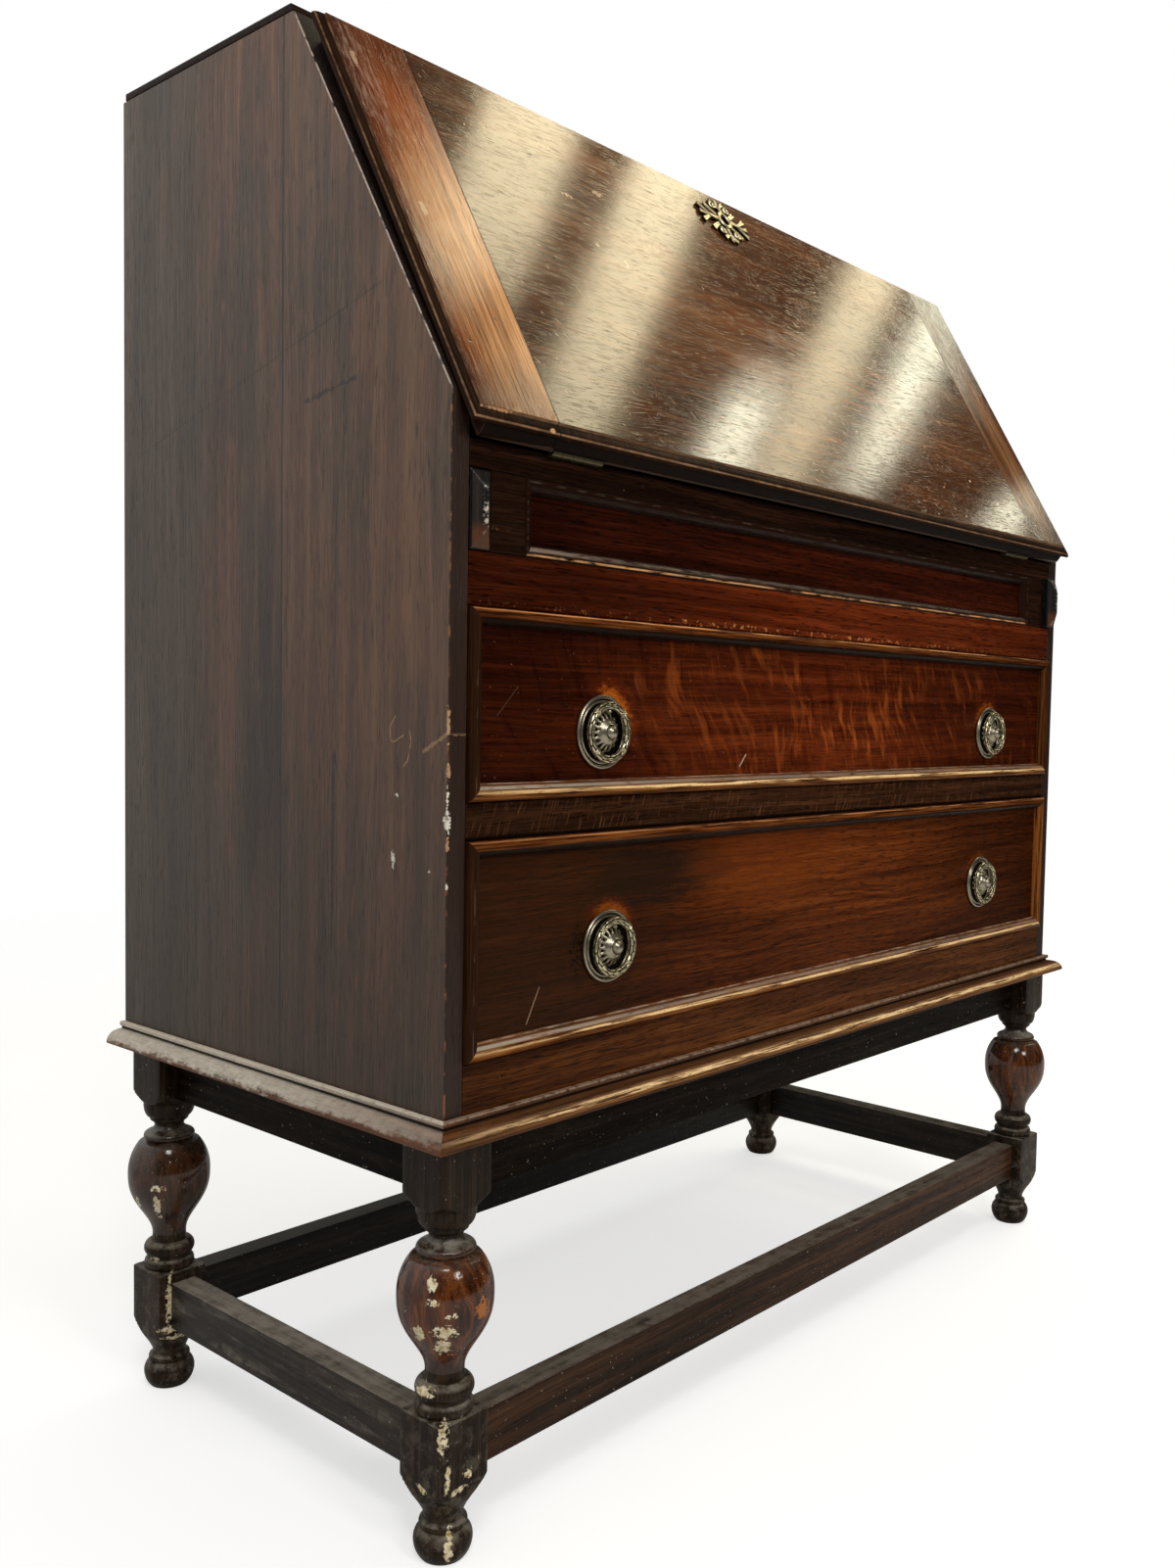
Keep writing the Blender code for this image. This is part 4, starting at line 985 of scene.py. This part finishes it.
def leg_rows():
    """Turned outline of a leg in millimetres, as (height, radius, blank), finer than the solid's."""
    square = 42.4
    floor = -math.degrees(math.asin(12 / 18.7))
    low = [(0, 8)]
    low += [(z, r) for r, z in arc((0, 12), (20.2, 18.7), floor, 0, 10)]
    low += [(z, r) for r, z in arc((0, 12), (20.2, 14.5), 6, 34, 5)]
    low += [(20.9, 15.2), (21.6, 16.1), (22.6, 16.5), (24, 16.5), (24.9, 16.2), (25.9, 14.6), (27.6, 13.5)]
    for i in range(17):
        t = i / 16
        low.append((29.5 + 26 * t, 13.3 + 16.7 * t ** 1.3))
    low += [(60, square), (80, square), (99.3, square), (99.9, 28.6), (100, 19.4)]
    middle = [(z, r) for r, z in arc((16, 104.2), (4, 5), -56, 72, 9)]
    middle += [(z, r) for r, z in arc((14.2, 116.6), (6, 6.4), -62, 86, 14)]
    middle += [(126, 13.45)]
    for i in range(0, 29):
        t = 1 - i / 28
        swell = 0.5 + 0.5 * math.cos(math.pi * t ** 1.33)
        middle.append((181.5 - t * 52, 13.4 + 19.4 * swell))
    for i in range(1, 15):
        z = 181.5 + 25 * i / 14
        middle.append((z, 32.8 * math.sqrt(1 - ((z - 181.5) / 37.2) ** 2)))
    middle += [(207.2, 22.6), (207.7, 19.4)]
    middle += [(z, r) for r, z in arc((16.4, 211.7), (4, 3.6), -64, 60, 9)]
    middle += [(216.4, 15), (217.3, 13.6), (218.8, 12.2), (220.5, 11.6), (222.4, 12.2), (224.1, 13.6)]
    middle += [(224.8, 14.8), (225.3, 15.3), (227.5, 15.4)]
    high = [(z, r) for r, z in arc((15.4, 238.5), (5.1, 11), -72, 10, 9)]
    high += [(242, 22.4), (243.5, 24), (245, 25.9), (246.5, 27.6), (248, 29), (249.1, 30)]
    high += [(252, square), (270, square), (288, square)]
    rows = []
    for stretch, blank in ((low, square), (middle, 2 * square), (high, square)):
        rows += [(z / 1000, r / 1000, blank / 1000) for z, r in stretch]
    return rows


def build_legs():
    """Four legs turned finer than the solids, each with its own material."""
    sides = 72
    corner_share = 0.692
    cream_front = ((-5.2, 197.4, 4.2, 6), (-4, 186.5, 4.6, 3), (9, 177, 5, 3),
                   (-13.5, 164, 5.5, 7), (4, 166, 10, 5.6), (2, 154, 7, 8.5),
                   (-11.9, 118.5, 9.5, 5), (3.2, 93, 4.2, 13), (18, 62, 3.4, 4.2),
                   (6, 64, 2.4, 12), (12, 53, 6, 2.8), (-12.5, 53.6, 4, 3.5),
                   (6.2, 13.5, 3.6, 13))
    cream_rear = ((1, 175.5, 7.5, 3.2), (-0.4, 160, 3.6, 15), (8, 80, 3, 23),
                  (9, 54.5, 10, 5), (10, 46, 11, 2.8), (-6, 111, 6, 2.6),
                  (-18, 160, 3, 6))
    plans = (("front_left", -LEG_X, LEG_FRONT, cream_front, 0.95, True),
             ("front_right", LEG_X, LEG_FRONT, (), 0.75, False),
             ("rear_left", -LEG_X, LEG_REAR, cream_rear, 0.35, False),
             ("rear_right", LEG_X, LEG_REAR, (), 0.35, False))
    rows = leg_rows()
    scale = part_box("leg_front_left")[1].z / LEG_TOP
    for word, x, y, marks, vase_red, glow in plans:
        loops = []
        for z, r, blank in rows:
            loop = []
            for i in range(sides):
                a = 2 * math.pi * i / sides
                c, w = math.cos(a), math.sin(a)
                reach = min(r, blank / 2 / max(abs(c), abs(w)), blank * corner_share)
                loop.append(Vector((x + reach * c, y + reach * w, z * scale)))
            loops.append(loop)
        mat = leg_oak("leg_oak_" + word, x, y, marks, vase_red, glow, 0.14)
        leg = solid("turned_leg_" + word, loft(loops), mat, "carcass", 34, ["leg_" + word])
        leg.data.materials.append(leg_oak("vase_oak_" + word, x, y, marks, vase_red, glow, 0.55))
        for face in leg.data.polygons:
            if VASE_LO < face.center.z < VASE_HI:
                face.material_index = 1


def framed(half_w, half_h, centre_z, rows):
    """Panel with a moulding round its edge: (inset, depth) rows from the back to the field."""
    loops = []
    for inset, y in rows:
        w = half_w - inset
        h = half_h - inset
        loops.append([Vector((-w, FRONT + y, centre_z - h)), Vector((w, FRONT + y, centre_z - h)),
                      Vector((w, FRONT + y, centre_z + h)), Vector((-w, FRONT + y, centre_z + h))])
    return loft(loops)


def build_drawer_fronts():
    """Drawer fronts with rounder mouldings than the solids'."""
    rows = [(0.0004, 0.021), (0, 0.0206)]
    rows += arc((0.0046, -0.0015), (0.0046, 0.003), 180, 270, 9)
    rows += arc((0.0046, 0.003), (0.007, 0.0075), 270, 360, 12)[1:]
    red = ((0.015, 0.0018, 0.0003), (0.062, 0.0088, 0.0012), (0.14, 0.023, 0.0034), 130, 0.85)
    brown = ((0.02, 0.0046, 0.0008), (0.068, 0.0138, 0.0016), (0.14, 0.032, 0.004), 150, 0.9)
    upper_tone = ((-0.43, 0.4), (-0.33, 0.45), (-0.2, 1), (0, 1.55), (0.2, 1), (0.43, 0.62))
    lower_tone = ((-0.43, 0.46), (-0.3, 0.54), (-0.14, 1.05), (0.05, 1.36), (0.25, 0.72), (0.43, 0.52))
    # Painted shade of each drawer's field, by height from its middle.
    upper_shade = ((-0.063, 0.8), (-0.03, 1.1), (0.03, 1), (0.063, 0.45))
    lower_shade = ((-0.073, 0.75), (-0.03, 0.9), (0.03, 1.1), (0.073, 0.75))
    upper_wear = ((-1, 48, 0.0105, 0.9), (1, 110, 0.007, 0.45))
    lower_wear = ((-1, 75, 0.0075, 0.5), (1, 110, 0.006, 0.2))
    # The last number of each plan is the share of painted light on the right stile.
    plans = {"upper": (3, red, upper_tone, upper_shade, 0.6, upper_wear, upper_extra, 0.12),
             "lower": (17, brown, lower_tone, lower_shade, 0, lower_wear, lower_extra, 0.6)}
    for word, plan in plans.items():
        centre_z, half_h = DRAWER_Z[word]
        panel = framed(DRAWER_HALF, half_h, centre_z, rows)
        mat = drawer_wood(word, *plan)
        solid("drawer_face_" + word, panel, mat, word + "_drawer", 30, ["drawer_front_" + word])


def build_frieze():
    """Frieze panel with a rounder sunk edge, and the moulding round the base."""
    lo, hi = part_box("frieze_panel")
    rows = [(0, 0.016), (0, 0.0003), (0.0003, 0)]
    rows += [(0.0015 + i, y) for i, y in arc((0, 0.008), (0.008, 0.008), -90, 0, 12)]
    panel = framed(hi.x, (hi.z - lo.z) / 2, (lo.z + hi.z) / 2, rows)
    solid("frieze_field", panel, frieze_wood(lo, hi), "carcass", 30, ["frieze_panel"])
    z_lo, z_hi = MOULD_LO, MOULD_HI
    z_quirk = z_hi - 0.0035
    z_ovolo = z_hi - 0.006
    outline = [(0.0003, z_lo), (0.016, z_lo), (0.0165, z_lo + 0.0005)]
    outline += arc((0.005, z_lo + 0.0012), (0.0115, z_ovolo - z_lo - 0.0012), 0, 90, 18)
    outline += [(0.003, z_ovolo), (0.003, z_quirk), (0.0043, z_quirk), (0.0047, z_quirk + 0.0004)]
    outline += [(0.0047, z_hi - 0.0004), (0.0043, z_hi), (0.0003, z_hi)]
    loops = []
    for side, end in ((-1, 1), (-1, 0), (1, 0), (1, 1)):
        loop = []
        for out, z in outline:
            y = MOULD_END if end else FRONT - out
            loop.append(Vector((side * (SIDE_X + out), y, z)))
        loops.append(loop)
    solid("base_moulding_run", loft(loops), moulding_oak(), "carcass", 34, ["base_moulding"])


def mark_hollows(mesh, values):
    """Keep how deep each point lies, from 0 on the crests to 1 in the hollows."""
    attribute = mesh.attributes.new("hollow", 'FLOAT', 'POINT')
    attribute.data.foreach_set("value", values)


def leaf_height(t, v):
    """Height of a pointed leaf with a midrib; t runs along it from 0 to 1, v across from -1 to 1."""
    width = math.sin(math.pi * min(1, t * 0.92 + 0.08)) ** 0.7
    if width <= 0 or abs(v) >= width:
        return 0
    k = abs(v) / width
    rib = 0.28 * math.exp(-(v / 0.16) ** 2)
    return (1 - k * k) ** 0.5 * (0.65 + 0.35 * t) - rib


def build_ring(word, mat, centre, body):
    """Laurel wreath ring: rows of overlapping leaves bound by ribbons at four places."""
    around, section = 300, 32
    radius, tube = 0.0193, 0.0029
    loops, hollows = [], []
    for i in range(around):
        a = 2 * math.pi * i / around
        loop = []
        turn = (a / (2 * math.pi)) % 1
        mirrored = turn if turn < 0.5 else 1 - turn
        tie = min(abs(turn - k * 0.25 - 0.125) for k in range(4))
        for k in range(section):
            b = 2 * math.pi * k / section
            row = (b / (2 * math.pi) * 6) % 1
            number = int(b / (2 * math.pi) * 6)
            t = (mirrored * 17 + 0.5 * (number % 2)) % 1
            rise = leaf_height(t, 2 * row - 1)
            if tie < 0.014:
                rise = 0.55 + 0.35 * math.cos(tie / 0.014 * math.pi * 2.5)
            r = tube * (0.74 + 0.3 * rise)
            reach = radius + r * math.cos(b)
            loop.append(Vector((centre[0] + reach * math.sin(a), centre[1] + r * math.sin(b),
                                centre[2] + reach * math.cos(a))))
            hollows.append(1 - min(1, max(0, rise * 1.15)))
        loops.append(loop)
    ring = solid("wreath_ring_" + word, loft(loops, closed=True), mat, body, 60,
                 ["handle_ring_" + word])
    mark_hollows(ring.data, hollows)


def build_plate(word, mat, centre, body):
    """Back plate: stepped rim, dish, fluted rosette, collar and domed button, turned in millimetres."""
    sides = 192
    rows = [(26.2, 0), (26.6, 0.4), (26.6, 1.9), (26.2, 2.6), (25.4, 3), (24.5, 2.9),
            (24, 2.3), (23.7, 1.7), (23.2, 1.7), (22.9, 2.2), (22.4, 2.6), (21.8, 2.5),
            (21.3, 2), (21, 1.3), (20, 1.2), (17.5, 1.2), (15.3, 1.4), (14.8, 1.8),
            (14.7, 3), (14.3, 3.7), (13.6, 4.3), (12.8, 4.9), (11.9, 5.5), (11, 6.1),
            (10.2, 6.6), (9.6, 7), (9.2, 7.4), (8.6, 8), (7.8, 8.6), (6.9, 9.1),
            (6.4, 9.7), (6.1, 10.2), (5.7, 10.4), (5.3, 10.2), (5.1, 9.9)]
    rows += [(4.9 * math.cos(t), 10.2 + 4.1 * math.sin(t)) for t in (0.1, 0.3, 0.5, 0.7, 0.9, 1.1, 1.3, 1.47)]
    loops, hollows = [], []
    for r, out in [(r / 1000, out / 1000) for r, out in rows]:
        loop = []
        for i in range(sides):
            a = 2 * math.pi * i / sides
            flute = 0
            if 0.0094 < r < 0.0149:
                flute = (0.5 - 0.5 * math.cos(a * 16)) ** 1.5
                flute *= min(1, (r - 0.0092) / 0.0016)
            lift = max(0.001, out - 0.0024 * flute)
            reach = r - 0.001 * flute if r > 0.0135 else r
            loop.append(Vector((centre[0] + reach * math.cos(a), centre[1] - lift,
                                centre[2] + reach * math.sin(a))))
            sunk = flute
            if 0.015 < r < 0.0212:
                sunk = 0.75
            elif 0.023 < r < 0.024 or 0.0049 < r < 0.0054:
                sunk = 0.8
            hollows.append(sunk)
        loops.append(loop)
    plate = solid("rosette_plate_" + word, loft(loops), mat, body, 50, ["handle_plate_" + word])
    mark_hollows(plate.data, hollows)
    bm = bmesh.new()
    bmesh.ops.create_uvsphere(bm, u_segments=14, v_segments=9, radius=0.002)
    for v in bm.verts:
        v.co = Vector((centre[0] + v.co.x * 1.1, centre[1] - 0.006 + v.co.y * 1.9,
                       centre[2] + 0.015 + v.co.z * 0.8))
    solid("ring_eye_" + word, bm, mat, body, 60)


def build_handles():
    """Four handles, each a plate on a drawer and a ring that hangs from it."""
    rim = brass("plate_brass", (0.5, 0.45, 0.34), (0.012, 0.009, 0.005), 0.24)
    gold = brass("wreath_brass", (0.88, 0.79, 0.52), (0.014, 0.01, 0.004), 0.21, 0.25, (0.36, 0.7))
    for word, (x, z) in HANDLES.items():
        for side, sign in (("left", -1), ("right", 1)):
            back = FRONT + 0.0027
            build_plate(word + "_" + side, rim, (sign * x, back, z), word + "_drawer")
            build_ring(word + "_" + side, gold, (sign * x, back - 0.008, z), word + "_" + side + "_ring")


def on_fall(x, u, out):
    """Point of the frame from a place on the fall."""
    c, w = math.cos(SLOPE), math.sin(SLOPE)
    return PIN + Vector((x, u * c - out * w, u * w + out * c))


def strap(bm, path, width, base, top, hollows):
    """Raised strap with bevelled edges along a path on the fall's face."""
    half = ((1, base, 1), (1, top - 0.0007, 0.5), (0.62, top, 0), (0.2, top - 0.0004, 0.35))
    outline = [(-share, lift, deep) for share, lift, deep in half] + list(reversed(half))
    rings = []
    count = len(path)
    for i, (x, u) in enumerate(path):
        x0, u0 = path[max(0, i - 1)]
        x1, u1 = path[min(count - 1, i + 1)]
        size = math.hypot(x1 - x0, u1 - u0)
        nx, nu = -(u1 - u0) / size, (x1 - x0) / size
        w = width(i / (count - 1)) / 2
        ring = []
        for share, lift, deep in outline:
            off = w * share
            ring.append(bm.verts.new(on_fall(x + nx * off, u + nu * off, lift)))
            hollows.append(deep)
        rings.append(ring)
    skin(bm, rings)


def curl_path(start, control, end, steps=12):
    """Points of a curve with one control point."""
    points = []
    for i in range(steps + 1):
        t = i / steps
        a, b, c = (1 - t) ** 2, 2 * t * (1 - t), t * t
        points.append(tuple(a * p + b * q + c * r for p, q, r in zip(start, control, end)))
    return points


def build_escutcheon():
    """Pierced strapwork plate round the keyhole: a cross of straps with split and flared ends."""
    mat = brass("escutcheon_brass", (0.92, 0.81, 0.53), (0.022, 0.016, 0.007), 0.22, 0.2)
    bm = bmesh.new()
    hollows = []
    lo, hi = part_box("escutcheon")
    middle = (lo + hi) / 2
    cx = middle.x
    cu = slope_place(middle.y, middle.z)[0]
    base = 0.0186

    def add(points, width, top):
        """Strap along points round the middle of the plate, in millimetres."""
        path = [(cx + x / 1000, cu + u / 1000) for x, u in points]
        strap(bm, path, lambda t: width(t) / 1000, base, base + top / 1000, hollows)

    for sx in (-1, 1):
        add(curl_path((sx * 5, 0), (sx * 12, sx * 1.5), (sx * 22, 0)), lambda t: 6.2 - 1.2 * t, 3.4)
        for end, bow in (((34, 9.8), (27, 4.5)), ((35.2, 0.8), (29, -1.2)),
                         ((33.5, -9.2), (27, -4.5))):
            tip = curl_path((sx * 19, 0), (sx * bow[0], bow[1]), (sx * end[0], end[1]), 9)
            add(tip, lambda t: 3.6 + 2.4 * t * t, 2.9)
        for su in (-1, 1):
            bar = curl_path((sx * 4, su * 4), (sx * 13, su * 6), (sx * 21.5, su * 14.5), 9)
            add(bar, lambda t: 4.8 + 1.2 * t * t, 2.4)
            knob = [(sx * (10.5 + 3 * math.cos(a)), su * (15 + 3 * math.sin(a)))
                    for a in [2 * math.pi * i / 16 for i in range(17)]]
            add(knob, lambda t: 3.4, 3.6)
    for su in (-1, 1):
        add(curl_path((0, su * 5), (su * 1.5, su * 10), (0, su * 16.5), 8), lambda t: 5.6, 3.3)
        for end, bow in (((-9.5, 22.2), (-4, 19)), ((0, 24.3), (1, 20)), ((9.5, 22.2), (4, 19))):
            tip = curl_path((0, su * 14), (bow[0], su * bow[1]), (end[0], su * end[1]), 8)
            add(tip, lambda t: 3.4 + 2.2 * t * t, 2.7)
    ring = [(7.2 * math.cos(a), 7.6 * math.sin(a)) for a in [2 * math.pi * i / 32 for i in range(33)]]
    add(ring, lambda t: 4.4, 3.9)
    plate = solid("strapwork_plate", bm, mat, "fall", 40, ["escutcheon"])
    mark_hollows(plate.data, hollows)


def dress():
    """Materials for the CAD nodes that stay, and the finer pieces that stand for the rest."""
    paint(side_oak("side_oak_left", True), "side_left")
    paint(side_oak("side_oak_right", False), "side_right")
    paint(fall_oak(), "fall_panel", "cleat_left", "cleat_right")
    edge_faces(fall_edge_oak(), "fall_panel", "cleat_left", "cleat_right")
    paint(frieze_rail_wood(), "frieze_rail")
    mid_tone = ((-0.43, 0.45), (-0.25, 0.75), (0, 1.15), (0.43, 0.75))
    base_tone = ((-0.43, 0.5), (-0.25, 0.8), (0.1, 1), (0.43, 0.65))
    # The mid rail is given painted shadow along its lower edge.
    mid_rail = rail_wood("mid_rail_oak", 14, (0.007, 0.0024, 0.0008), (0.036, 0.0122, 0.0042),
                         (0.11, 0.04, 0.015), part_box("mid_rail")[0].z, tone_x=mid_tone, flecks=0.5)
    base_rail = rail_wood("base_rail_oak", 15, (0.014, 0.0034, 0.0006), (0.08, 0.0205, 0.0034),
                          (0.2, 0.062, 0.012), tone_x=base_tone)
    dark_rail = rail_wood("dark_rail_oak", 16, (0.004, 0.0015, 0.0007), (0.014, 0.005, 0.0021),
                          (0.045, 0.016, 0.007))
    stile = rail_wood("stile_oak", 18, (0.005, 0.002, 0.0009), (0.014, 0.0053, 0.0022), (0.034, 0.014, 0.006))
    paint(mid_rail, "mid_rail")
    paint(base_rail, "base_rail")
    paint(dark_rail, "fall_rail", "top_board")
    paint(stile, "stile_left", "stile_right")
    paint(loper_oak(), "loper_left", "loper_right")
    for axis, words in (('x', ("front", "rear")), ('y', ("left", "right"))):
        apron = dusty_oak("apron_oak_" + axis, axis, 22, (0.002, 0.0011, 0.0006), (0.0072, 0.004, 0.0021),
                          (0.019, 0.0108, 0.006), 0.4, 0.08, 0.04)
        for word in words:
            paint(apron, "apron_" + word)
    for word, axis, mid, dust, film, spec in (("front", 'x', (0.034, 0.0145, 0.006), 0.45, 0.1, 0.12),
                                              ("rear", 'x', (0.01, 0.006, 0.004), 0.25, 0.1, 0.25),
                                              ("left", 'y', (0.026, 0.0175, 0.011), 0.95, 1, 0.25),
                                              ("right", 'y', (0.012, 0.0075, 0.005), 0.35, 0.2, 0.25)):
        dark = tuple(c * 0.3 for c in mid)
        light = tuple(c * 2.4 for c in mid)
        paint(dusty_oak("stretcher_oak_" + word, axis, 24, dark, mid, light, dust, film, spec),
              "stretcher_" + word)
    paint(plain_oak("bed_oak", 'x', 26), "writing_bed", "bottom_board", "dust_board_mid",
          "dust_board_upper", "pigeonhole_shelf", "drawer_back_upper", "drawer_back_lower",
          "drawer_bottom_upper", "drawer_bottom_lower")
    paint(plain_oak("lining_oak", 'y', 27), "drawer_left_upper", "drawer_right_upper", "drawer_left_lower",
          "drawer_right_lower", "upright_left", "upright_right")
    paint(plain_oak("back_oak", 'z', 28), "back_panel")
    hinge = brass("hinge_brass", (0.17, 0.14, 0.08), (0.03, 0.024, 0.014), 0.36)
    paint(hinge, "hinge_leaf_left", "hinge_leaf_right", "fall_leaf_left", "fall_leaf_right", "lock_case")
    boxes = [n for n in NODES if n.startswith(("side", "top", "fall_panel", "cleat", "frieze_rail",
                                               "mid_rail", "base_rail", "fall_rail", "stile", "loper",
                                               "apron", "stretcher", "writing", "drawer_left",
                                               "drawer_right", "drawer_back", "upright", "pigeon",
                                               "back_panel"))]
    soften(0.0007, *boxes)
    build_legs()
    build_drawer_fronts()
    build_frieze()
    build_handles()
    build_escutcheon()


make_camera()
make_lights()
make_floor()
bpy.context.scene.view_settings.view_transform = 'Standard'
dress()
